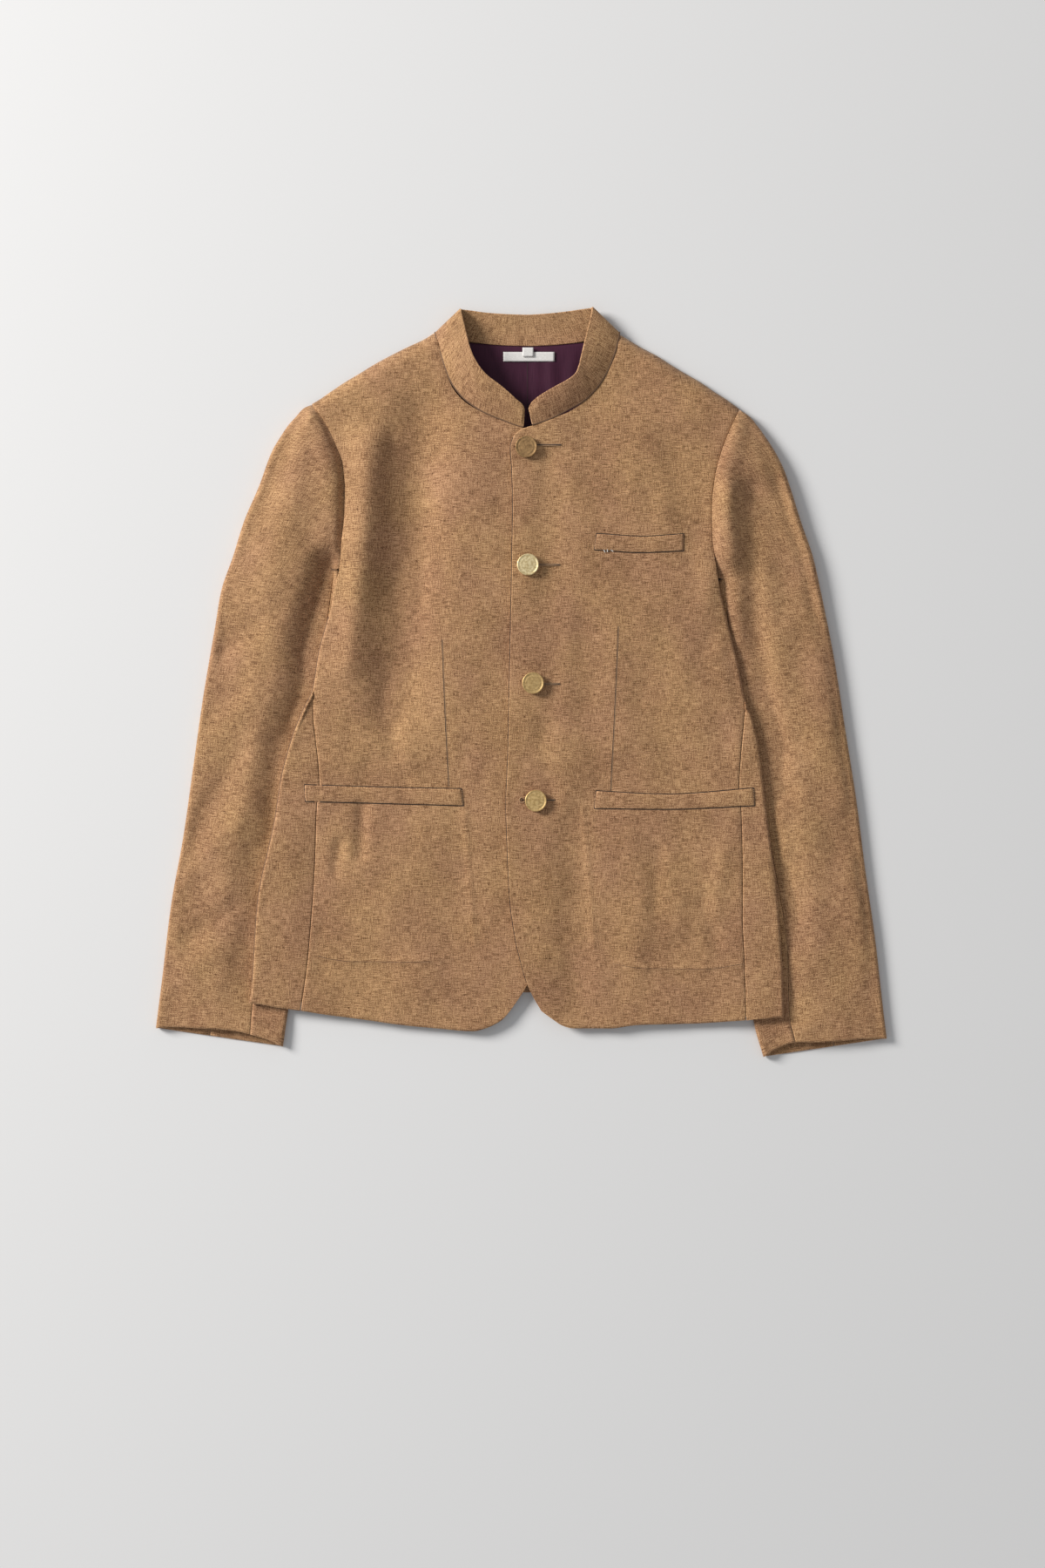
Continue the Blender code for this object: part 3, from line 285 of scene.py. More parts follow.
# Yarns of the linen: cells a millimetre across and along, detail, seed, weight in tone, in relief
YARNS = {"warp": (1.7, 0.11, 1.0, 1.0, 0.80, 0.9), "weft": (0.10, 1.7, 1.0, 9.0, 1.05, 0.9),
         "grain": (1.25, 1.25, 2.0, 17.0, 1.35, 0.8), "broad": (0.018, 0.024, 2.0, 31.0, 0.24, 0.0)}
# Flecks, dashes and faded patches: cells a millimetre across and along, detail, seed, tints
TINTS = [(0.50, 0.30, 1.0, 53.0, ((0.665, PLAIN), (0.72, FLECK))),
         (0.13, 0.80, 1.0, 71.0, ((0.67, PLAIN), (0.74, FLECK))),
         (0.016, 0.012, 2.0, 83.0, ((0.36, (1.05, 1.06, 0.98)), (0.64, (0.95, 0.91, 0.93))))]

# Smaller creases of the fronts: start x, y, end x, y, half width, height
CREASES = [
    (-94, 262, -102, 103, 30, -5.6), (-107, 57, -122, -20, 26, -6.2),
    (-152, 235, -156, 166, 19, 8.0), (-159, 136, -171, 20, 18, 7.0),
    (182, 130, 199, 30, 11, 2.2), (203, 11, 221, -80, 10, 1.8),
    (-128, 250, -136, 90, 7, -1.0), (-177, 190, -180, 90, 7, -1.0),
    (-70, 250, -84, 60, 22, 1.6), (-159, -124, -161, -172, 7, -3.0),
    (-182, -162, -187, -190, 6, -2.2), (-150, -80, -116, -96, 8, -1.8),
    (-188, -80, -168, -95, 8, 1.4), (-133, -10, -129, -72, 9, -2.0), (-112, -20, -110, -90, 9, 1.0),
    (-40, 210, -52, 60, 24, 1.4), (-70, -200, -60, -300, 20, -1.2),
    (-205, -150, -200, -290, 10, -1.1), (-130, -225, -100, -300, 22, 1.4),
    (30, 225, 27, -40, 17, -2.8), (62, 200, 70, 90, 22, 1.4), (45, -150, 50, -300, 16, -2.0),
    (95, 100, 100, -60, 18, 1.0), (138, -168, 134, -226, 8, -1.8), (205, -170, 190, -240, 9, 1.4),
    (182, -218, 196, -262, 8, -1.8), (110, -160, 118, -290, 14, 1.2), (160, -215, 152, -250, 9, 1.0),
    (150, 240, 175, 120, 18, -1.8), (20, -60, 30, -110, 14, -1.4), (120, -20, 160, -80, 16, -1.4),
    (206, 60, 214, -40, 10, -1.2), (-206, 20, -214, -60, 10, -1.2), (200, 100, 190, 40, 9, -1.4),
    (-57, -124, -47, -262, 2.6, 0.8), (62, -126, 73, -266, 2.6, 0.8),
    (-203, -274, -169, -279, 2.4, 0.9), (-169, -279, -121, -279.5, 2.4, 0.9),
    (-121, -279.5, -72, -275.6, 2.4, 0.9), (92, -282, 124, -286, 2.4, 0.9),
    (124, -286, 183, -286.6, 2.4, 0.9), (183, -286.6, 221, -281, 2.4, 0.9),
]

# Creases of the sleeves: start x, y, end x, y, half width, height
SLEEVE_CREASES = [
    (229, 190, 231, 130, 11, -4.0), (231, 112, 236, 60, 11, -5.5), (238, 44, 248, -20, 11, -5.5),
    (250, 180, 257, 80, 26, -5.5), (262, 36, 268, -60, 24, -5.0), (252, -38, 262, -110, 12, -4.0),
    (292, 210, 306, 60, 22, -1.5), (207, 190, 210, 110, 9, 3.5), (213, 94, 219, 40, 8, 2.4),
    (238, -30, 256, -200, 9, -3.2), (256, -200, 268, -318, 8, -2.6),
    (-188, 116, -203, 30, 17, -9.0), (-203, 30, -224, -40, 12, -4.0),
    (206, 192, 233, 172, 8, 2.2), (270, -110, 280, -260, 12, -2.0), (302, 60, 322, -120, 16, 1.8),
    (330, -180, 340, -300, 14, 1.4), (264, -187, 275, -239, 5, -2.2), (222, 128, 246, 118, 9, 1.4),
    (-226, 220, -252, 120, 22, 2.0), (-262, 60, -300, 30, 12, -1.6),
    (-270, -20, -318, -60, 13, 1.8), (-282, -70, -325, -150, 12, -2.4),
    (-295, -150, -338, -200, 10, 1.6), (-290, -225, -335, -260, 10, -1.8),
    (-300, -270, -350, -300, 12, 1.4), (-275, -120, -300, -180, 12, 1.4),
    (-246, -60, -252, -160, 9, -1.6),
]

# Neck lining: how far its top edge is raised and bowed, its middle seam, and its folds
LINING_RISE, LINING_BOW, LINING_SEAM_X = 3.0, 3.5, 6.0
LINING_FOLDS = [(28, 330, 34, 262, 5, 1.2), (-34, 326, -24, 270, 5, 0.9),
                (52, 332, 50, 290, 5, 0.9), (14, 330, 16, 270, 4, 0.7)]

# Lines sewn or pressed into the fronts, each drawn as a painted shade line with a painted highlight
# beside it: name, points in plan
SEWN_LINES = [
    ("dart_right", [(-79.4, 42.4), (-77.0, -20.0), (-72.9, -104.0)]),
    ("dart_left", [(96.5, 55.6), (93.0, -30.0), (89.0, -110.0)]),
]
# Outlines of the pocket bags, drawn as painted shade lines with a painted highlight beside each
POCKET_BAGS = [
    [(-203.0, -273.5), (-192.0, -277.0), (-169.0, -279.4), (-121.0, -279.9), (-91.0, -279.4)],
    [(92.0, -282.0), (124.0, -286.3), (183.0, -287.0), (221.0, -281.5)],
]
LOOSE_STITCHES = [
    [(82.0, 131.5), (83.5, 129.0)], [(85.5, 132.0), (86.0, 129.2)], [(89.0, 131.8), (91.5, 129.8)],
]

# Looks
LINEN_STOPS = (0.31, 0.50, 0.69)
LINEN_TONES = ((0.195, 0.098, 0.044), (0.395, 0.212, 0.103), (0.600, 0.360, 0.190))
# Sewing thread (also drawn as the painted highlight beside seam lines), painted shadow lines,
# painted shade lines and loose stitches: name, light tone, dark tone
THREAD_TONES = [
    ("tan_thread_and_highlight", (0.50, 0.31, 0.17), (0.27, 0.15, 0.075)),
    ("slit_shadow", (0.035, 0.02, 0.012), (0.02, 0.012, 0.008)),
    ("painted_shade_line", (0.19, 0.10, 0.05), (0.13, 0.07, 0.035)),
    ("white_thread", (0.80, 0.78, 0.74), (0.6, 0.57, 0.53)),
]
# Brass of each button: its name, worn metal, dull metal, roughness. The buttons are one brass
# painted lit and shaded: the first darker as painted shade, the second brighter as a painted
# highlight, the others between
BRASS_TONES = [
    ("brass_painted_shade", (0.44, 0.27, 0.12), (0.24, 0.14, 0.06), 0.62),
    ("brass_painted_highlight", (1.00, 0.84, 0.50), (0.62, 0.45, 0.20), 0.45),
    ("brass_mid", (0.72, 0.50, 0.22), (0.42, 0.26, 0.10), 0.48),
    ("brass_warm", (0.82, 0.58, 0.26), (0.48, 0.30, 0.11), 0.46),
]
FLOOR_TONES = ((0.76, 0.755, 0.75), (0.80, 0.795, 0.79))

# Studio, in metres
CAMERA_X, CAMERA_Y, CAMERA_HEIGHT, FRAME_HEIGHT = 0.0011, -0.1019, 2.2, 1.575
KEY_PLACE, KEY_SIZE, KEY_ENERGY, KEY_COLOUR = (-4.4, 2.0, 2.55), 2.0, 378.0, (1.0, 0.985, 0.965)
KEY_AIM = Vector((0.0, -0.1, 0.0))
FLOOR_SIZE, FLOOR_BELOW = 16.0, 0.0004
ROOM_COLOUR, ROOM_LIGHT = (0.95, 0.97, 1.0), 0.37


def mix(start, end, share):
    """Number or vector between two others."""
    return start + (end - start) * share


def shares(parts):
    """Even shares from 0 to 1."""
    return [index / parts for index in range(parts + 1)]


def smooth(share):
    """Ease from 0 to 1 with level ends."""
    share = min(max(share, 0.0), 1.0)
    return share * share * (3.0 - 2.0 * share)


def read(table, key, column=1):
    """Value of a column at a key, on a smooth line through the table's rows."""
    if key <= table[0][0]:
        return table[0][column]
    if key >= table[-1][0]:
        return table[-1][column]
    place = bisect_right([row[0] for row in table], key) - 1

    def rise(index):
        return ((table[index + 1][column] - table[index][column])
                / (table[index + 1][0] - table[index][0]))

    def slope(index):
        if index in (0, len(table) - 1):
            return rise(min(index, len(table) - 2))
        before, after = rise(index - 1), rise(index)
        return 0.0 if before * after <= 0.0 else 2.0 * before * after / (before + after)

    step = table[place + 1][0] - table[place][0]
    share = (key - table[place][0]) / step
    low, high = table[place][column], table[place + 1][column]
    bend = share * (1.0 - share)
    return (mix(low, high, smooth(share))
            + step * bend * ((1.0 - share) * slope(place) - share * slope(place + 1)))


def along(points, share):
    """Point of a line at a share of its length, on a smooth line through its points."""
    lengths = [0.0]
    for start, end in zip(points, points[1:]):
        lengths.append(lengths[-1] + math.dist(start, end))
    key = share * lengths[-1]
    columns = range(1, len(points[0]) + 1)
    table = [(length, *point) for length, point in zip(lengths, points)]
    return tuple(read(table, key, column) for column in columns)


def fold_height(folds, x, y):
    """Height that a list of soft folds adds at a point."""
    total = 0.0
    for start_x, start_y, end_x, end_y, half_width, height in folds:
        run_x, run_y = end_x - start_x, end_y - start_y
        length_squared = run_x ** 2 + run_y ** 2
        share = ((x - start_x) * run_x + (y - start_y) * run_y) / length_squared
        held = min(max(share, 0.0), 1.0)
        away = math.hypot(x - start_x - held * run_x, y - start_y - held * run_y)
        total += height * math.exp(-(away / half_width) ** 2)
    return total


def under_side(side, y):
    """Height of the body's underside where it lies over the sleeve."""
    return read(SIDE_HEIGHTS, y - PIT[side], PRESSED) + OVER_SLEEVE


def fold_radius(side, y):
    """Half the thickness of the body where its side folds round."""
    return read(SIDE_HEIGHTS, y - PIT[side], FOLD_RADIUS)


def edge_top(side, y):
    """Height of the front's outer face beside its side fold or armhole."""
    if y < PIT[side]:
        return under_side(side, max(y, LOWEST_FOLD)) + 2.0 * fold_radius(side, y)
    return read(ARMHOLE_TOP, y - PIT[side])


def shoulder_depth(side, x, y):
    """Distance from a point to the shoulder line."""
    return (read(SHOULDER[side], abs(x)) - y) * SHOULDER_SLOPE


def front_top(x, y):
    """Height of the fronts' outer face."""
    side = "left" if x > 0.0 else "right"
    inside = read(TORSO_EDGE[side], y) - abs(x)
    height = mix(read(CENTRE_TOP, y), edge_top(side, y), smooth(1.0 - inside / SIDE_BLEND))
    height += fold_height(FRONT_FOLDS, x, y) * smooth(inside / FOLD_FADE)
    radius = fold_radius(side, y)
    if y < PIT[side] and inside < radius:
        drop = radius - math.sqrt(max(radius ** 2 - (radius - max(inside, 0.0)) ** 2, 0.0))
        height -= drop * smooth((PIT[side] - y) / PIT_FADE)
    depth = shoulder_depth(side, x, y)
    if depth < SHOULDER_ROLL:
        rolled = 1.0 - max(depth, 0.0) / SHOULDER_ROLL
        height = mix(SHOULDER_MID, height, math.sqrt(1.0 - rolled ** 2))
    return height


def lap_raise(x):
    """How far the left front is lifted where it laps over the right front."""
    return LAP_RAISE * (1.0 - smooth((x - LAP_FLAT_TO) / LAP_EASE))


def armhole_heights(side):
    """Heights of the armhole's stations, from the armpit up to the shoulder."""
    top = TORSO_EDGE[side][-1][0]
    return [mix(PIT[side], top, share) for share in ARMHOLE_SHARES]


def side_heights(side):
    """Heights of the side panel's stations, from above the hem up to the armpit."""
    turn, pit = SEAM_TURN[side], PIT[side]
    high = [mix(turn, pit, share) for share in HIGH_SHARES]
    return LOW_STATIONS + [turn - TURN_STEP, turn] + high + [pit]


def round_extra(radius):
    """How much longer a quarter turn is than its radius."""
    return radius * (math.pi / 2.0 - 1.0)


def side_point(side, y, along_fold):
    """Point of a body side at a distance from its folded edge, above it or below."""
    edge, radius = read(TORSO_EDGE[side], y), fold_radius(side, y)
    middle = under_side(side, max(y, LOWEST_FOLD)) + radius
    inward, up, on_fold = round_fold(along_fold, radius)
    x = edge - inward
    if on_fold:
        z = middle + up
    elif along_fold > 0.0:
        z = front_top(SIGN[side] * x, y)
    else:
        past_sleeve = read(SLEEVE_INNER[side], y) - SLEEVE_CLEAR - x
        z = (middle - radius) * (1.0 - smooth(past_sleeve / (BACK_SEAM_INSIDE - 5.0)))
    return x, z


def sleeve_row(side, y):
    """Inner and outer end of a sleeve's row, in plan, and its width."""
    sign = SIGN[side]
    table = SLEEVE_INNER if y < PIT[side] else TORSO_EDGE
    inner = Vector((sign * read(table[side], y), y))
    outer_y = y + read(SLEEVE_SLANT, y - PIT[side])
    outer_y = min(outer_y, SLEEVE_OUTER[side][-1][0] - 0.2)
    outer = Vector((sign * read(SLEEVE_OUTER[side], outer_y), outer_y))
    return inner, outer, (inner - outer).length


def sleeve_rows(side):
    """Heights of a sleeve's rows, from the cuff to the shoulder."""
    cuff, hem = SLEEVE_INNER[side][0][0], TORSO_EDGE[side][0][0]
    low = [cuff, hem - HEM_CLEAR - CUFF_EASE]
    low += [mix(hem - HEM_CLEAR, PIT[side], share) for share in SLEEVE_SHARES]
    return low + [PIT[side]] + armhole_heights(side)


def sleeve_cover(side, y, point, from_inner):
    """Distance from a sleeve's inner edge over which the body lies on it."""
    covered = read(TORSO_EDGE[side], point.y) - abs(point.x) + from_inner
    above_hem = y - TORSO_EDGE[side][0][0]
    share = smooth((above_hem + CUFF_EASE + HEM_CLEAR) / CUFF_EASE)
    return mix(LOW_COVER, covered + COVER_EXTRA, share)


def outer_fold(above, width):
    """Radius of a sleeve's outer fold, at a height above the armpit."""
    return min(read(SLEEVE_HEIGHTS, above, OUTER_RADIUS), WIDEST_FOLD * width)


def inner_fold(above):
    """Radius of a sleeve's inner fold, at a height above the armpit."""
    return read(SIDE_HEIGHTS, above, PRESSED) / 2.0


def round_fold(distance, radius):
    """Way inward and up at a distance round a fold, and whether that is still on the fold."""
    turned = min(abs(distance) / radius, math.pi / 2.0)
    inward = radius * (1.0 - math.cos(turned))
    inward += max(abs(distance) - radius * math.pi / 2.0, 0.0)
    return inward, math.copysign(radius * math.sin(turned), distance), turned < math.pi / 2.0


def sleeve_top(side, y, from_outer, width, point):
    """Height of a sleeve's upper face at a distance from its outer edge."""
    above = y - PIT[side]
    crest = read(SLEEVE_HEIGHTS, above, CREST)
    radius = outer_fold(above, width)
    from_inner = width - from_outer
    high_share = smooth((above - HIGH_RISE_FROM) / HIGH_RISE_OVER)
    rise_width = mix(OUTER_RISE, HIGH_RISE[side], high_share) * width
    outer_rise = smooth((from_outer - radius) / rise_width)
    if side == "left":
        outer_rise = mix(outer_rise, smooth((from_outer - radius) / EDGE_ROLL),
                         EDGE_ROLL_SHARE)
    height = mix(2.0 * radius, crest, outer_rise)
    cover = sleeve_cover(side, min(y, PIT[side]), point, from_inner)
    low = Vector((read(SIDE_HEIGHTS, above, PRESSED), cover, INNER_REACH * (width - cover)))
    high = Vector((front_top(point.x, point.y) + ARMHOLE_STEP, 0.0, ARMHOLE_REACH))
    start, clear, reach = mix(low, high, smooth(above / PIT_EASE))
    height = mix(start, height, smooth((from_inner - clear) / reach))
    ridge = read(SLEEVE_HEIGHTS, above, RIDGE)
    swell = math.exp(-((from_inner - RIDGE_PLACE) / RIDGE_WIDTH) ** 2)
    return height + ridge * swell * smooth(from_inner / RIDGE_START)


def sleeve_point(side, y, stop, fold):
    """Point of a sleeve's outer face, at a distance round from its outer or inner fold.

    The distance is positive on the upper face and negative on the underside.
    """
    inner, outer, width = sleeve_row(side, y)
    above = y - PIT[side]
    radius = outer_fold(above, width) if fold == "outer" else inner_fold(above)
    inward, up, on_fold = round_fold(stop, radius)
    from_outer = inward if fold == "outer" else width - inward
    place = mix(outer, inner, from_outer / width)
    if on_fold:
        z = radius + up
    elif stop > 0.0:
        z = sleeve_top(side, y, from_outer, width, place)
    else:
        z = 0.0
    return place.x, place.y, z


def sleeve_sizes(side, y):
    """Width of a sleeve's row, its outer and inner fold radius, and both seams' places."""
    inner, outer, width = sleeve_row(side, y)
    above = y - PIT[side]
    seam, hind = read(SLEEVE_SEAM[side], y), HIND_SEAM_SHARE * width
    return width, outer_fold(above, width), inner_fold(above), seam, hind


def spread(stations, step):
    """Places between stations, no more than a step apart: index with its share, and value."""
    places = []
    for index, (low, high) in enumerate(zip(stations, stations[1:])):
        parts = max(1, round(abs(high - low) / step))
        places += [(index + part / parts, mix(low, high, part / parts)) for part in range(parts)]
    return places + [(float(len(stations) - 1), stations[-1])]


def between(stops, parts):
    """Stops with extra ones between them, evenly in each interval."""
    fine = []
    for low, high in zip(stops, stops[1:]):
        fine += [mix(low, high, part / parts) for part in range(parts)]
    return fine + [stops[-1]]


def wrinkle(x, y, seed=0.0):
    """Small uneven relief that linen keeps after wear."""
    broad = noise.noise(Vector((x / BROAD_WAVE[0], y / BROAD_WAVE[1], seed)))
    fine = noise.noise(Vector((x / FINE_WAVE[0], y / FINE_WAVE[1], seed + 7.0)))
    return BROAD_RELIEF * broad + FINE_RELIEF * fine


def seam_dip(away):
    """Depth of the groove that a seam presses into the cloth, at a distance from it."""
    return SEAM_DIP * math.exp(-(away / SEAM_SPREAD) ** 2)


def cloth_top(x, y):
    """Height of the fronts' fine surface: the solid's form with its creases, over the back."""
    height = front_top(x, y) + fold_height(CREASES, x, y) + wrinkle(x, y)
    return FRONT_LEAST + FRONT_EASE * math.log1p(math.exp((height - FRONT_LEAST) / FRONT_EASE))


def front_grid(side):
    """Points of a front: rows from the hem to the shoulder, columns from edge to side."""
    sign, hem = SIGN[side], HEM[side]
    stations = [FRONT_SEAM[side][0][0]] + side_heights(side) + armhole_heights(side)
    stations.append(TORSO_EDGE[side][-1][0])
    places = spread(stations, FINE_STEP)
    last, neck_row = len(stations) - 1, len(stations) - NECK_ROWS
    neck_low = stations[neck_row]
    edge_low, edge_high = FRONT_EDGE[side][0][0], FRONT_EDGE[side][-1][0]
    shoulder = [(sign * x, y) for x, y in SHOULDER[side]]
    inner = EDGE_COLUMNS[-1]
    columns = list(EDGE_COLUMNS[:-1])
    columns += [mix(inner, 1.0 - inner, share) for share in shares(FRONT_COLUMNS)]
    columns += [1.0 - share for share in reversed(EDGE_COLUMNS[:-1])]
    hem_line = [Vector(along(hem, across)) for across in columns]
    top_line = [Vector(along(shoulder, across)) for across in columns]
    grid = []
    for place, y in places:
        table = FRONT_SEAM if y < SEAM_TURN[side] else TORSO_EDGE
        end = Vector((sign * read(table[side], y), y))
        if place <= neck_row:
            level = mix(edge_low, edge_high, (y - stations[0]) / (neck_low - stations[0]))
            start = Vector((read(FRONT_EDGE[side], level), level))
        else:
            start = Vector(along(NECK_SEAM[side], (y - neck_low) / (stations[-1] - neck_low)))
        up = place / last
        low, high = smooth(1.0 - up * 3.0), smooth(up * 3.0 - 2.0)
        width = (end - start).length
        end += (start - end).normalized() * SEAM_GAP / 2.0
        line = []
        for across, hem_point, top_point in zip(columns, hem_line, top_line):
            point = mix(start, end, across)
            point += (hem_point - mix(Vector(hem[0]), Vector(hem[-1]), across)) * low
            point += (top_point - mix(top_line[0], top_line[-1], across)) * high
            z = cloth_top(point.x, point.y)
            if side == "left":
                z += lap_raise(point.x)
            from_seam = (1.0 - across) * width
            if y < SEAM_TURN[side] - 4.0 or y > PIT[side]:
                z -= seam_dip(from_seam)
            if place > neck_row:
                z -= seam_dip(across * width)
            line.append((point.x, point.y, z))
        grid.append(line)
    return grid


def side_grid(side):
    """Points of a side panel: rows up the body, columns from the front seam to the back."""
    sign, hem_edge = SIGN[side], TORSO_EDGE[side][0][0]
    grid = []
    for place, y in spread([hem_edge] + side_heights(side), FINE_STEP):
        seam_y = y
        if place < 1.0:
            seam_y = mix(FRONT_SEAM[side][0][0], y, place)
        edge, sleeve = read(TORSO_EDGE[side], y), read(SLEEVE_INNER[side], y)
        radius = fold_radius(side, y)
        quarter = radius * math.pi / 2.0
        back = -(edge - sleeve + BACK_SEAM_INSIDE - SEAM_GAP) - round_extra(radius)
        over_sleeve = min(-(edge - sleeve + SLEEVE_CLEAR) - round_extra(radius), -quarter - 0.8)
        seam = -0.3
        if y < SEAM_TURN[side]:
            seam = max(edge - read(FRONT_SEAM[side], seam_y) + round_extra(radius) - SEAM_GAP, 0.1)
        if seam > quarter + 1.0:
            stops = [seam, seam - 1.0] + between([mix(seam, quarter, 0.5), quarter], 8)[:-1]
            stops += between([quarter, -quarter], 10)
        else:
            stops = between([seam, -quarter], 20)
        stops += between([-quarter, over_sleeve], 4)[1:] + between([over_sleeve, back], 8)[1:]
        line = []
        for stop in stops:
            x, z = side_point(side, y, stop)
            share = smooth(max(stop, 0.0) / max(stops[0], 1.0))
            if stop > quarter:
                z += fold_height(CREASES, sign * x, y) + wrinkle(sign * x, y)
                z -= seam_dip(stops[0] - stop)
            line.append((sign * x, mix(y, seam_y, share), z))
        grid.append(line)
    return grid


def sleeve_relief(x, y, from_inner, from_outer):
    """Creases and wrinkles of a sleeve's upper face, which fade out at its edges."""
    fade = smooth(from_inner / 12.0) * smooth((from_outer - 3.0) / 10.0)
    return (fold_height(SLEEVE_CREASES, x, y) + SLEEVE_WRINKLE * wrinkle(x, y, 3.0)) * fade


def cuff_bow(side, y, from_inner):
    """How far the cuff's upper layer is drawn back from its under layer."""
    near_cuff = smooth(1.0 - (y - SLEEVE_INNER[side][0][0]) / CUFF_BOW_REACH)
    return read(CUFF_BOW[side], from_inner) * near_cuff ** 2


def sleeve_line(side, y, stops, fold):
    """Points of one row of a sleeve, at distances round from one of its folds."""
    inner, outer, width = sleeve_row(side, y)
    under_body = y < PIT[side]
    line = []
    for stop in stops:
        x, height_y, z = sleeve_point(side, y, stop, fold)
        away = (Vector((x, height_y)) - outer).length
        if stop > 0.0 and z > 5.0:
            relief = sleeve_relief(x, height_y, width - away, away)
            covered = abs(x) < read(TORSO_EDGE[side], height_y) + 2.0
            if under_body and covered and height_y > TORSO_EDGE[side][0][0] - 4.0:
                z = max(z + min(relief, 0.0), PRESSED_LEAST)
            else:
                z = max(z + relief, PRESSED_LEAST)
            if not under_body:
                z -= seam_dip(width - away)
        upper = smooth((z - UPPER_FROM) / UPPER_EASE)
        height_y += cuff_bow(side, y, 1.0 - away / width) * upper
        line.append((x, height_y, z))
    return line


def sleeve_places(side):
    """Heights of a sleeve's fine rows."""
    return [y for _, y in spread(sleeve_rows(side), FINE_STEP)]


def top_sleeve_grid(side):
    """Points of a top sleeve: rows up the sleeve, columns from hind seam to front seam."""
    grid = []
    for y in sleeve_places(side):
        width, radius, _, seam, hind = sleeve_sizes(side, y)
        quarter = radius * math.pi / 2.0
        end = width - SEAM_GAP / 2.0 + round_extra(radius)
        if y <= PIT[side]:
            end = width - seam - SEAM_GAP / 2.0 + round_extra(radius)
        hind_stop = -(max(hind, radius + 0.3) + round_extra(radius))
        stops = between([hind_stop, -quarter], 5)[:-1] + between([-quarter, quarter], 12)[:-1]
        stops += between([quarter, end - 0.02 * width], 40) + [end - 0.008 * width, end]
        grid.append(sleeve_line(side, y, stops, "outer"))
    return grid


def under_sleeve_grid(side):
    """Points of an under sleeve: rows up the sleeve, columns from front seam to hind seam."""
    grid = []
    for y in sleeve_places(side):
        width, outer_radius, radius, seam, hind = sleeve_sizes(side, y)
        hind_from_inner = width - max(hind, outer_radius + 0.3) - SEAM_GAP
        if y <= PIT[side]:
            quarter = radius * math.pi / 2.0
            start = max(seam - SEAM_GAP / 2.0 + round_extra(radius), quarter + 0.2)
            end = -(hind_from_inner + round_extra(radius))
            stops = between([start, quarter], 8)[:-1] + between([quarter, -quarter], 10)[:-1]
            stops += between([-quarter, end], 8)
            grid.append(sleeve_line(side, y, stops, "inner"))
            continue
        inner, outer, width = sleeve_row(side, y)
        line = []
        for share in shares(26):
            from_inner = mix(SEAM_GAP / 2.0, hind_from_inner, share)
            place = mix(inner, outer, from_inner / width)
            line.append((place.x, place.y, 0.0))
        grid.append(line)
    return grid


def back_grid():
    """Points of the back: rows from the hem to the neck and shoulders."""
    columns = shares(60)
    ends = []
    for side in ("right", "left"):
        line = [(read(SLEEVE_INNER[side], BACK_HEM[side]) - BACK_SEAM_INSIDE, BACK_HEM[side])]
        for y in side_heights(side):
            line.append((read(SLEEVE_INNER[side], y) - BACK_SEAM_INSIDE, y))
        line[-1] = (line[-1][0], line[-1][1] + 1.0)
        for y in armhole_heights(side):
            line.append((read(TORSO_EDGE[side], y), y))
        line.append((TORSO_EDGE[side][-1][1], TORSO_EDGE[side][-1][0]))
        ends.append([Vector((SIGN[side] * (x - SEAM_GAP / 2.0), y)) for x, y in line])
    neck = [tuple(point) for point in BACK_NECK]
    top = ([(-x, y) for x, y in reversed(SHOULDER["right"])] + neck[1:-1]
           + [(x, y) for x, y in SHOULDER["left"]])
    grid = []
    for place, _ in spread([point.y for point in ends[0]], 12.0):
        row = min(int(place), len(ends[0]) - 2)
        right = mix(ends[0][row], ends[0][row + 1], place - row)
        left = mix(ends[1][row], ends[1][row + 1], place - row)
        up = place / (len(ends[0]) - 1)
        line = []
        for across in columns:
            point = mix(right, left, across)
            middle_hem = BACK_HEM_MIDDLE - mix(BACK_HEM["right"], BACK_HEM["left"], across)
            point.y += middle_hem * smooth(1.0 - 3.0 * up) * math.sin(math.pi * across) ** 0.7
            bend = Vector(along(top, across)) - mix(ends[0][-1], ends[1][-1], across)
            point += bend * smooth(up * 2.2 - 1.2)
            line.append((point.x, point.y, 0.0))
        grid.append(line)
    return grid


def collar_grid():
    """Points of the collar's outer face: ribs round the neck, from seam to free edge."""
    ribs = []
    for side in ("left", "right"):
        table = COLLAR_RIBS[side] if side == "left" else list(reversed(COLLAR_RIBS[side]))
        for seam_x, seam_y, seam_z, edge_x, edge_y, edge_z in table:
            if seam_z is None:
                seam_z = front_top(seam_x, seam_y) + (lap_raise(seam_x) if side == "left" else 0.0)
            ribs.append((seam_x, seam_y, seam_z, edge_x, edge_y, edge_z))
    keyed = [(float(index), *rib) for index, rib in enumerate(ribs)]
    grid = []
    for place, _ in spread([float(index) for index in range(len(ribs))], 0.25):
        numbers = [read(keyed, place, column) for column in range(1, 7)]
        seam, edge = Vector(numbers[:3]), Vector(numbers[3:])
        line = []
        for share in COLLAR_STEPS:
            point = mix(seam, edge, share)
            upper = smooth((seam.z + edge.z - 14.0) / 14.0)
            crown = COLLAR_BULGE * (0.5 if seam.x > 0.0 else 1.0)
            point.z += crown * upper * math.sin(math.pi * share)
            point.z += 0.5 * noise.noise(Vector((place * 0.7, share * 2.0, 1.0)))
            point.z = max(point.z, COLLAR_CLOTH)
            line.append(tuple(point))
        grid.append(line)
    return grid


def flat_grid(outline, height, columns, rows):
    """Points of a flat rectangular piece."""
    left, right, bottom, top = outline
    return [[(mix(left, right, across), mix(bottom, top, up), height)
             for across in shares(columns)] for up in shares(rows)]


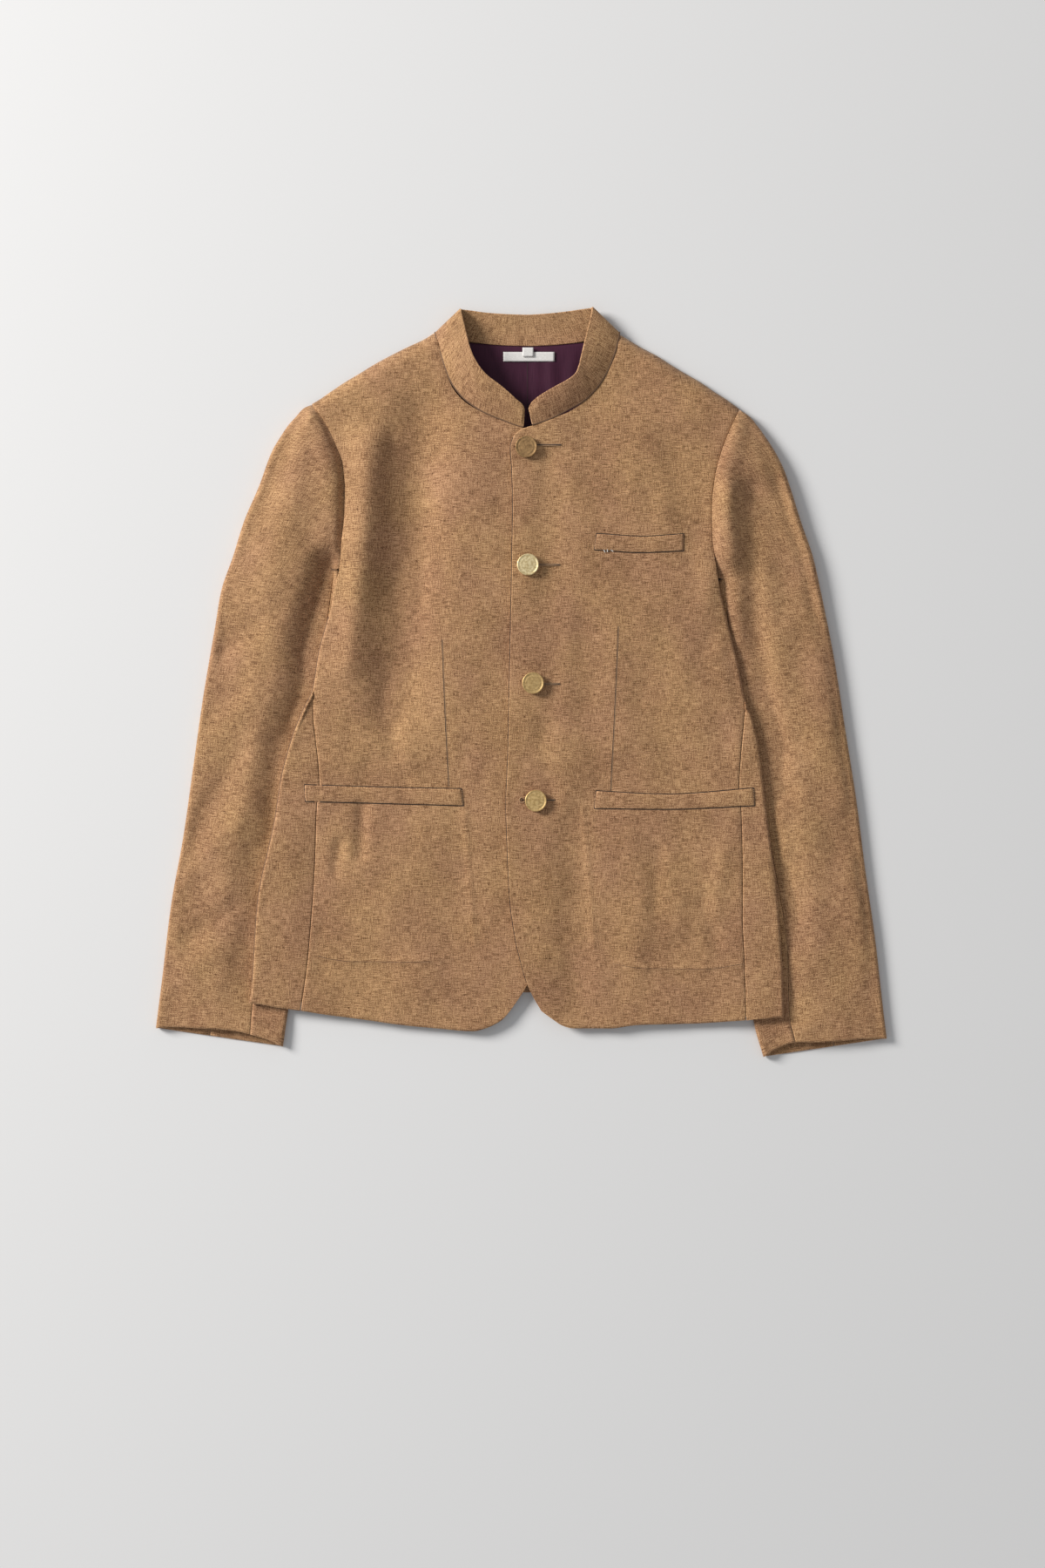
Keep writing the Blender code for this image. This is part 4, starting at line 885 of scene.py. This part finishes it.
def lining_grid(height):
    """Points of the neck lining: its top edge follows the collar, with two soft folds."""
    grid = []
    for number, line in enumerate(flat_grid(LINING, height, 48, 30)):
        share = number / 30.0
        fine = []
        for x, y, z in line:
            rise = LINING_RISE + LINING_BOW * ((x - 4.0) / 80.0) ** 2
            z += fold_height(LINING_FOLDS, x, y) * smooth(4.0 * (1.0 - share))
            fine.append((x, y + rise * share, z))
        grid.append(fine)
    return grid


def cloth_measure(grid):
    """Distance across and along at each point of a grid, for the weave's run."""
    across = []
    for line in grid:
        total, run = 0.0, [0.0]
        for start, end in zip(line, line[1:]):
            total += math.dist(start, end)
            run.append(total)
        across.append(run)
    middle, total, up = len(grid[0]) // 2, 0.0, [0.0]
    for low, high in zip(grid, grid[1:]):
        total += math.dist(low[middle], high[middle])
        up.append(total)
    return [[(across[row][column], up[row]) for column in range(len(grid[0]))]
            for row in range(len(grid))]


def grid_insets(grid):
    """Distance of each point of a grid from the piece's border."""
    runs = cloth_measure(grid)
    top = runs[-1][0][1]
    return [[min(across, run[-1][0] - across, up, top - up) for across, up in run]
            for run in runs]


def mesh_from(name, shape):
    """Mesh with smooth faces from a built shape."""
    for face in shape.faces:
        face.smooth = True
    mesh = bpy.data.meshes.new(name)
    shape.to_mesh(mesh)
    shape.free()
    return mesh


def grid_mesh(name, grid, facing_up, runs):
    """Open mesh through a grid of points, with its cloth's run in millimetres as UV."""
    shape = bmesh.new()
    uv = shape.loops.layers.uv.new("run")
    inset = shape.verts.layers.float.new("inset")
    corners = [[shape.verts.new(Vector(point) * MM) for point in line] for line in grid]
    for line, distances in zip(corners, grid_insets(grid)):
        for corner, distance in zip(line, distances):
            corner[inset] = distance
    spot = {}
    for line, run in zip(corners, runs):
        for corner, place in zip(line, run):
            spot[corner] = place
    for lower, upper in zip(corners, corners[1:]):
        for index in range(len(lower) - 1):
            face = shape.faces.new([lower[index], lower[index + 1], upper[index + 1],
                                    upper[index]])
            for loop in face.loops:
                loop[uv].uv = spot[loop.vert]
    shape.faces.ensure_lookup_table()
    shape.normal_update()
    if (shape.faces[len(grid[0]) - 2].normal.z > 0.0) != facing_up:
        bmesh.ops.reverse_faces(shape, faces=shape.faces[:])
    return mesh_from(name, shape)


def placed(name, data):
    """New object in the scene."""
    made = bpy.data.objects.new(name, data)
    bpy.context.scene.collection.objects.link(made)
    return made


def finish_piece(made, look):
    """Give a piece its material and body."""
    made.data.materials.append(look)
    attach(made, "root")
    return made


def cloth(name, grid, facing_up, thickness, look, node, rounds=False):
    """Cloth piece that stands for a node: a fine open surface, thickened inward.

    The weave lies in plan, or along the cloth's own run where the piece rounds a form.
    """
    runs = [[point[:2] for point in line] for line in grid]
    if rounds:
        runs = cloth_measure(grid)
    made = placed(name, grid_mesh(name, grid, facing_up, runs))
    thicken = made.modifiers.new("cloth", "SOLIDIFY")
    thicken.thickness = thickness * MM
    thicken.offset = -1.0
    finish_piece(made, look)
    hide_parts(node)
    return made


def nodes_for(name):
    """New material with its nodes, links and shader."""
    made = bpy.data.materials.new(name)
    made.use_nodes = True
    tree = made.node_tree
    return made, tree, tree.nodes["Principled BSDF"]


def add_node(tree, kind, values=(), **settings):
    """Node with its settings and the values of its named inputs."""
    made = tree.nodes.new(kind)
    for key, value in settings.items():
        setattr(made, key, value)
    for key, value in dict(values).items():
        made.inputs[key].default_value = value
    return made


def math_node(tree, operation, first, second):
    """Math node on two numbers or outputs."""
    made = add_node(tree, "ShaderNodeMath", operation=operation)
    for index, value in enumerate((first, second)):
        if isinstance(value, (int, float)):
            made.inputs[index].default_value = value
        else:
            tree.links.new(value, made.inputs[index])
    return made.outputs[0]


def yarn_noise(tree, source, across, along_run, detail, seed):
    """Noise stretched along or across the cloth's run: cells per millimetre each way."""
    place = add_node(tree, "ShaderNodeMapping")
    place.inputs["Scale"].default_value = (across, along_run, 1.0)
    place.inputs["Location"].default_value = (seed, seed * 0.7, seed)
    tree.links.new(source, place.inputs["Vector"])
    made = add_node(tree, "ShaderNodeTexNoise", {"Scale": 1.0, "Detail": detail})
    tree.links.new(place.outputs["Vector"], made.inputs["Vector"])
    return made.outputs["Fac"]


def ramp(tree, source, stops):
    """Colour ramp with stops of place and colour."""
    made = add_node(tree, "ShaderNodeValToRGB")
    while len(made.color_ramp.elements) < len(stops):
        made.color_ramp.elements.new(0.5)
    for element, (place, colour) in zip(made.color_ramp.elements, stops):
        element.position = place
        element.color = (*colour, 1.0)
    tree.links.new(source, made.inputs["Fac"])
    return made.outputs["Color"]


def weave(tree, source):
    """Height of a plain weave: warp and weft threads that pass over each other."""
    split = add_node(tree, "ShaderNodeSeparateXYZ")
    tree.links.new(source, split.inputs[0])
    waves = []
    for output in ("X", "Y"):
        angle = math_node(tree, "MULTIPLY", split.outputs[output], math.pi / THREAD_PITCH)
        waves.append(math_node(tree, "SINE", angle, 0.0))
    return math_node(tree, "MULTIPLY", waves[0], waves[1])


def tinted(tree, colour, layer):
    """Colour multiplied by another."""
    blend = add_node(tree, "ShaderNodeMix", data_type="RGBA", blend_type="MULTIPLY")
    blend.inputs["Factor"].default_value = 1.0
    tree.links.new(colour, blend.inputs[6])
    tree.links.new(layer, blend.inputs[7])
    return blend.outputs[2]


def surfaced(tree, shader, relief, strength, distance, source, gain, least):
    """Relief and roughness of a material, each from a noise."""
    bump = add_node(tree, "ShaderNodeBump", {"Strength": strength, "Distance": distance})
    tree.links.new(relief, bump.inputs["Height"])
    tree.links.new(bump.outputs["Normal"], shader.inputs["Normal"])
    rough = math_node(tree, "ADD", math_node(tree, "MULTIPLY", source, gain), least)
    tree.links.new(rough, shader.inputs["Roughness"])


def toned(tree, shader, source, stops):
    """Base colour of a material, from a ramp on a noise."""
    tree.links.new(ramp(tree, source, stops), shader.inputs["Base Color"])


def object_noise(tree, scale, detail):
    """Noise with a number of cells a metre."""
    made = add_node(tree, "ShaderNodeTexNoise", {"Scale": scale, "Detail": detail})
    place = add_node(tree, "ShaderNodeTexCoord").outputs["Object"]
    tree.links.new(place, made.inputs["Vector"])
    return made.outputs["Fac"]


def blended(tree, first, second, share):
    """Sum of two noises, the second with a share of the whole."""
    return math_node(tree, "ADD", math_node(tree, "MULTIPLY", first, 1.0 - share),
                     math_node(tree, "MULTIPLY", second, share))


def linen_look(name, tones):
    """Slubbed linen: uneven yarns, dark flecks, broad fading, a painted highlight along the edges, a
    plain weave.
    """
    made, tree, shader = nodes_for(name)
    run = add_node(tree, "ShaderNodeUVMap", uv_map="run").outputs["UV"]
    yarns = {kind: yarn_noise(tree, run, *row[:4]) for kind, row in YARNS.items()}
    total, height = 0.5, math_node(tree, "MULTIPLY", weave(tree, run), WEAVE_RELIEF)
    for kind, yarn in yarns.items():
        tone, relief = YARNS[kind][4:]
        part = math_node(tree, "MULTIPLY", math_node(tree, "SUBTRACT", yarn, 0.5), tone)
        total = math_node(tree, "ADD", part, total)
        height = math_node(tree, "ADD", math_node(tree, "MULTIPLY", yarn, relief), height)
    colour = ramp(tree, total, tuple(zip(LINEN_STOPS, tones)))
    for *noise_values, stops in TINTS:
        patch = yarn_noise(tree, run, *noise_values)
        colour = tinted(tree, colour, ramp(tree, patch, stops))
    # Painted highlight: the cloth is lighter within a millimetre of each piece's border
    border = add_node(tree, "ShaderNodeAttribute", attribute_name="inset").outputs["Fac"]
    lighter_tone = ramp(tree, border, ((0.35, (EDGE_HIGHLIGHT,) * 3), (1.0, PLAIN)))
    tree.links.new(tinted(tree, colour, lighter_tone), shader.inputs["Base Color"])
    surfaced(tree, shader, height, 0.9, YARN_RELIEF, yarns["grain"], 0.25, 0.76)
    shader.inputs["Sheen Weight"].default_value = 0.12
    shader.inputs["Sheen Roughness"].default_value = 0.5
    shader.inputs["Specular IOR Level"].default_value = 0.25
    return made


def lining_look():
    """Plum lining with fine ribs and a low sheen."""
    made, tree, shader = nodes_for("plum_lining")
    run = add_node(tree, "ShaderNodeUVMap", uv_map="run").outputs["UV"]
    ribs = yarn_noise(tree, run, 2.2, 0.05, 2.0, 3.0)
    broad = yarn_noise(tree, run, 0.05, 0.03, 2.0, 13.0)
    tone = blended(tree, ribs, broad, 0.4)
    toned(tree, shader, tone, ((0.3, (0.042, 0.010, 0.024)), (0.7, (0.080, 0.022, 0.046))))
    surfaced(tree, shader, tone, 0.4, 0.00012, broad, 0.2, 0.42)
    shader.inputs["Sheen Weight"].default_value = 0.04
    shader.inputs["Specular IOR Level"].default_value = 0.15
    return made


def label_look():
    """Off-white woven tape."""
    made, tree, shader = nodes_for("woven_tape")
    run = add_node(tree, "ShaderNodeUVMap", uv_map="run").outputs["UV"]
    yarn = yarn_noise(tree, run, 0.4, 3.0, 2.0, 5.0)
    toned(tree, shader, yarn, ((0.3, (0.66, 0.63, 0.60)), (0.7, (0.86, 0.84, 0.81))))
    surfaced(tree, shader, yarn, 0.5, 0.0001, yarn, 0.2, 0.6)
    return made


def brass_look(name, lighter_tone, dull, roughness):
    """Antique brass: brighter and duller patches, at random."""
    made, tree, shader = nodes_for(name)
    speck = object_noise(tree, 1500.0, 3.0)
    tone = blended(tree, object_noise(tree, 420.0, 4.0), speck, 0.3)
    toned(tree, shader, tone, ((0.36, dull), (0.60, lighter_tone)))
    surfaced(tree, shader, tone, 0.6, 0.00015, speck, 0.3, roughness - 0.15)
    shader.inputs["Metallic"].default_value = 0.7
    return made


def thread_look(name, light, dark):
    """Sewing thread with a fine twist."""
    made, tree, shader = nodes_for(name)
    twist = object_noise(tree, 2600.0, 2.0)
    toned(tree, shader, twist, ((0.35, dark), (0.65, light)))
    surfaced(tree, shader, twist, 0.5, 0.0001, twist, 0.2, 0.6)
    return made


def floor_look():
    """Pale studio surface with faint mottling."""
    made, tree, shader = nodes_for("pale_surface")
    cloud = object_noise(tree, 1.6, 2.0)
    toned(tree, shader, cloud, ((0.3, FLOOR_TONES[0]), (0.7, FLOOR_TONES[1])))
    shader.inputs["Roughness"].default_value = 0.9
    shader.inputs["Specular IOR Level"].default_value = 0.1
    return made


class Surface:
    """Highest face of some pieces at a place, for what lies on them."""

    def __init__(self, pieces):
        bpy.context.view_layer.update()
        graph = bpy.context.evaluated_depsgraph_get()
        self.trees = [BVHTree.FromObject(each, graph) for each in pieces]

    def height(self, x, y):
        """Height in millimetres, or that of the nearest point off the pieces."""
        start = Vector((x * MM, y * MM, 0.2))
        hits = [tree.ray_cast(start, Vector((0.0, 0.0, -1.0)))[0] for tree in self.trees]
        hits = [hit.z / MM for hit in hits if hit is not None]
        if hits:
            return max(hits)
        low = Vector((x * MM, y * MM, 0.02))
        near = [tree.find_nearest(low) for tree in self.trees]
        return min(near, key=lambda each: each[3])[0].z / MM


def thread(name, points, radius, look):
    """Thin round thread through points in millimetres."""
    line = bpy.data.curves.new(name, "CURVE")
    line.dimensions = "3D"
    line.bevel_depth = radius * MM
    line.bevel_resolution = 1
    line.use_fill_caps = True
    spline = line.splines.new("POLY")
    spline.points.add(len(points) - 1)
    for place, point in zip(spline.points, points):
        place.co = (*(Vector(point) * MM), 1.0)
    return finish_piece(placed(name, line), look)


def lifted(surface, places, lift):
    """Places in plan, laid on a surface and lifted off it."""
    return [(x, y, surface.height(x, y) + lift) for x, y in places]


def on_surface(surface, line, lift, step=3.0):
    """Points along a line in plan, laid on a surface and lifted off it."""
    length = sum(math.dist(start, end) for start, end in zip(line, line[1:]))
    count = max(2, round(length / step))
    return lifted(surface, [along(line, share) for share in shares(count)], lift)


def joined(name, parts):
    """One piece from several of the same look."""
    shape = bmesh.new()
    graph = bpy.context.evaluated_depsgraph_get()
    for part in parts:
        each = part.evaluated_get(graph).to_mesh()
        shape.from_mesh(each)
        part.evaluated_get(graph).to_mesh_clear()
    bmesh.ops.remove_doubles(shape, verts=shape.verts[:], dist=0.000001)
    mesh = mesh_from(name, shape)
    look = parts[0].data.materials[0]
    for part in parts:
        bpy.data.objects.remove(part)
    return finish_piece(placed(name, mesh), look)


def welt(name, surface, look):
    """Pocket welt: a folded strip that lies on the front, open along its upper edge."""
    upper, lower = WELTS[name]
    grid = []
    for share in (0.0, 0.03, 0.10, 0.25, 0.5, 0.75, 0.90, 0.97, 1.0):
        rounding = 1.0 - (abs(2.0 * share - 1.0)) ** 6
        line = []
        for step in range(61):
            top, bottom = along(upper, step / 60.0), along(lower, step / 60.0)
            x, y = mix(bottom[0], top[0], share), mix(bottom[1], top[1], share)
            end = min(step, 60 - step) / 2.0
            lift = WELT_CLOTH * (0.35 + 0.65 * rounding) * smooth(0.4 + end * 0.6)
            ground = surface.height(x, y)
            line.append((x, y, ground + LYING_GAP * 0.4 + lift + 0.12 * noise.noise(
                Vector((x / 9.0, y / 5.0, 2.0)))))
        grid.append(line)
    return cloth(name + "_cloth", grid, True, 0.7, look, name, True)


def buttonhole(index, surface, look, dark):
    """Keyhole buttonhole: a ring of close stitches, with a slit and an eye of painted shadow inside
    it.
    """
    eye_x, end_x, y = BUTTONS[index - 1][2:]
    ring = []
    for step in range(25):
        turn = math.radians(30.0 + 300.0 * step / 24.0)
        ring.append((eye_x + 2.6 * math.cos(turn), y + 2.6 * math.sin(turn)))
    outline = [(end_x, y + 0.75), (eye_x + 5.0, y + 0.75)] + ring
    outline += [(eye_x + 5.0, y - 0.75), (end_x, y - 0.75), (end_x + 0.4, y), (end_x, y + 0.75)]
    thread(f"buttonhole_{index}", lifted(surface, outline, 0.18), 0.55, look)
    slit = [(mix(eye_x + 2.0, end_x, share), y) for share in shares(12)]
    thread(f"slit_{index}", lifted(surface, slit, 0.3), 0.8, dark)
    eye = [(eye_x - 0.5, y), (eye_x + 0.9, y)]
    thread(f"eye_{index}", lifted(surface, eye, -0.6), 1.5, dark)


def button(index, look):
    """Shank button with a turned rim, a slightly domed face and a plain ring on it."""
    x, y = BUTTONS[index - 1][:2]
    low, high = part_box(f"button_{index}")
    foot, top = low.z / MM, high.z / MM
    bottom = top - BUTTON_THICKNESS
    radius, shank = BUTTON_DIAMETER / 2.0, SHANK_DIAMETER / 2.0
    profile = [(out, top - depth) for out, depth in BUTTON_FACE]
    profile += [(radius, bottom + 0.5), (radius - 0.4, bottom), (shank + 1.2, bottom - 0.1),
                (shank, bottom - 0.6), (shank, foot), (0.0, foot)]
    shape = bmesh.new()
    corners = [shape.verts.new(Vector((out, 0.0, up)) * MM) for out, up in profile]
    for start, end in zip(corners, corners[1:]):
        shape.edges.new((start, end))
    bmesh.ops.spin(shape, geom=shape.verts[:] + shape.edges[:], cent=(0.0, 0.0, 0.0),
                   axis=(0.0, 0.0, 1.0), angle=math.tau, steps=64, use_merge=True)
    bmesh.ops.remove_doubles(shape, verts=shape.verts[:], dist=0.000002)
    bmesh.ops.recalc_face_normals(shape, faces=shape.faces[:])
    for corner in shape.verts:
        out = math.hypot(corner.co.x, corner.co.y) / MM
        if out < 9.0 and corner.co.z / MM > top - 1.0:
            bumpy = noise.noise(Vector((corner.co.x, corner.co.y, 0.01 * index)) * 900.0)
            corner.co.z += 0.07 * MM * bumpy
        corner.co += Vector((x, y, 0.0)) * MM
    mesh = mesh_from(f"button_{index}_metal", shape)
    mesh.set_sharp_from_angle(angle=math.radians(50.0))
    made = finish_piece(placed(f"button_{index}_metal", mesh), look)
    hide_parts(f"button_{index}")


def shade_and_highlight_line(name, surface, line, radius, shift, highlight_look, shade_look):
    """Pressed seam drawn in paint: a dark line of painted shade, with a painted highlight of the
    seam's edge beside it.
    """
    thread(name, on_surface(surface, line, 0.0), radius, shade_look)
    beside = [(x + shift, y) for x, y in line]
    thread(name + "_edge", on_surface(surface, beside, -0.08), radius, highlight_look)


def bartack(name, surface, x, low, high, look):
    """Short close bar of stitches across a welt's end."""
    parts = []
    for step in range(9):
        y = mix(low, high, step / 8.0)
        line = lifted(surface, [(x - 0.9, y), (x, y + 0.2), (x + 0.9, y)], 0.15)
        parts.append(thread(f"{name}_{step}", line, 0.28, look))
    return joined(name, parts)


def studio():
    """Surface, light and camera."""
    bpy.ops.mesh.primitive_plane_add(size=1.0, location=(0.0, -0.1, -FLOOR_BELOW))
    floor = bpy.context.object
    floor.name = "pale_surface"
    floor.scale = (FLOOR_SIZE, FLOOR_SIZE, 1.0)
    floor.data.materials.append(floor_look())
    world = bpy.data.worlds.new("soft_room")
    bpy.context.scene.world = world
    world.use_nodes = True
    background = world.node_tree.nodes["Background"]
    background.inputs["Color"].default_value = (*ROOM_COLOUR, 1.0)
    background.inputs["Strength"].default_value = ROOM_LIGHT
    window = bpy.data.lights.new("window_light", "AREA")
    window.energy, window.color = KEY_ENERGY, KEY_COLOUR
    window.shape, window.size = "DISK", KEY_SIZE
    lamp = placed("window_light", window)
    lamp.location = KEY_PLACE
    lamp.rotation_euler = (KEY_AIM - Vector(KEY_PLACE)).to_track_quat("-Z", "Y").to_euler()
    camera_data = bpy.data.cameras.new("camera")
    camera_data.lens = 36.0 * CAMERA_HEIGHT / FRAME_HEIGHT
    camera_data.sensor_width = 36.0
    camera_data.clip_end = 20.0
    camera = placed("camera", camera_data)
    camera.location = (CAMERA_X, CAMERA_Y, CAMERA_HEIGHT)
    bpy.context.scene.camera = camera
    bpy.context.scene.view_settings.view_transform = "Standard"


def dress_body(linen):
    """Back, fronts, side panels and sleeves. Gives the fronts, the sides and a sleeve."""
    back = cloth("back_cloth", back_grid(), False, THIN, linen, "back")
    fronts, sides = {}, {}
    for side in ("left", "right"):
        fronts[side] = cloth(f"front_{side}_cloth", front_grid(side), True, THIN, linen,
                             f"front_{side}")
        sides[side] = cloth(f"side_{side}_cloth", side_grid(side), False, THIN, linen,
                            f"side_{side}")
        top = cloth(f"top_sleeve_{side}_cloth", top_sleeve_grid(side), True, THIN, linen,
                    f"top_sleeve_{side}", True)
        under = cloth(f"under_sleeve_{side}_cloth", under_sleeve_grid(side), False, THIN, linen,
                      f"under_sleeve_{side}", True)
    return fronts, sides, top


def dress_neck(linen, lining, tape, shade, shadowed):
    """Collar with its seam's shadow, and the lining, label and size tab inside the neck."""
    collar = cloth("collar_cloth", collar_grid(), True, COLLAR_CLOTH - 0.4, linen,
                   "collar", True)
    # Painted shade: a dark thread laid half a millimetre under the collar's seam, darkening the join
    # of collar and fronts
    seam = [line[0] for line in collar_grid()]
    thread("neck_seam_painted_shade", [(x, y, z - 0.5) for x, y, z in seam], 0.9, shade)

    layer = CLOTH + LYING_GAP + LINING_CLOTH
    lined = cloth("lining_cloth", lining_grid(layer), True, 0.6, lining, "back_lining")
    # Painted shade: a thin dark thread down the lining's middle seam
    thread("lining_seam_painted_shade", [(LINING_SEAM_X, y, layer + 0.1) for y in range(255, 338, 6)], 0.2,
           shadowed)
    layer += LYING_GAP + LINING_CLOTH
    label = cloth("label_tape", flat_grid(LABEL, layer, 24, 6), True, 0.6, tape,
                  "label")
    layer += LYING_GAP + LINING_CLOTH
    tab = cloth("size_tape", flat_grid(SIZE_TAB, layer, 8, 6), True, 0.6, tape,
                "size_tab")


def dress_pocket(name, skin, linen, sewing, shadowed):
    """Welt with the shadow lines round it and a bartack at each end."""
    made = welt(name, skin, linen)
    upper, lower = WELTS[name]
    mouth = [(x, y + 0.5) for x, y in (along(upper, share) for share in shares(30))]
    foot = [(x, y - 0.5) for x, y in (along(lower, share) for share in shares(30))]
    # Painted shadow lines along the welt's open upper edge, its lower edge and both ends
    for line_name, line in (("mouth", mouth), ("foot", foot), ("inner_end", [foot[0], mouth[0]]),
                            ("outer_end", [foot[-1], mouth[-1]])):
        thread(f"{name}_{line_name}", on_surface(skin, line, 0.15), 0.45, shadowed)
    strip = Surface([made])
    for place, label_word in ((0, "inner"), (-1, "outer")):
        shift = 1.2 if (place == 0) == (upper[0][0] < upper[-1][0]) else -1.2
        bartack(f"{name}_bartack_{label_word}", strip, lower[place][0] + shift,
                lower[place][1] + 1.5, upper[place][1] - 1.5, sewing)


def sew_fronts(skin, fronts, sleeve, looks):
    """Darts, pocket bags, the shadows at the lap and beside the body, loose stitches."""
    sewing, shadowed, shade, white = looks
    # Darts and pocket bags are drawn as painted shade lines, each with a painted highlight in the
    # sewing thread's tone beside it
    for name, line in SEWN_LINES:
        shade_and_highlight_line(name, skin, line, 0.30, 0.75, sewing, shadowed)
    for index, line in enumerate(POCKET_BAGS, start=1):
        shade_and_highlight_line(f"pocket_bag_{index}", skin, line, 0.26, -0.45, sewing, shade)
    # Painted shadow: a dark thread on the right front at the foot of the left front's edge
    edge = [(read(FRONT_EDGE["left"], y) - 0.35, y) for y in range(-300, 245, 4)]
    thread("lap_edge_painted_shadow", on_surface(Surface([fronts["right"]]), edge, 0.2), 0.42, shadowed)
    # Painted shadow: a dark thread on the sleeve beside the right side's body edge
    edge_shadow_line = [(-read(TORSO_EDGE["right"], y) - 0.7, y) for y in range(-300, 72, 6)]
    thread("body_edge_painted_shadow", on_surface(Surface([sleeve]), edge_shadow_line, -0.1), 0.6, shade)
    for index, line in enumerate(LOOSE_STITCHES, start=1):
        thread(f"tacking_{index}", on_surface(skin, line, 0.55, 0.8), 0.42, white)


def main():
    """Dress the jacket."""
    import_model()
    studio()
    linen = linen_look("linen", LINEN_TONES)
    lining, tape = lining_look(), label_look()
    sewing, shadowed, shade, white = [thread_look(*tones) for tones in THREAD_TONES]

    fronts, sides, sleeve = dress_body(linen)
    dress_neck(linen, lining, tape, shade, shadowed)
    skin = Surface([fronts["left"], fronts["right"], sides["left"], sides["right"]])
    for name, flat in (("chest_welt", (0.089, 0.0157)), ("welt_left", (0.16, 0.0165)),
                       ("welt_right", (0.159, 0.0162))):
        dress_pocket(name, skin, linen, sewing, shadowed)
    laps = Surface([fronts["left"]])
    for index, tones in enumerate(BRASS_TONES, start=1):
        button(index, brass_look(*tones))
        buttonhole(index, laps, sewing, shadowed)
    sew_fronts(skin, fronts, sleeve, (sewing, shadowed, shade, white))


main()
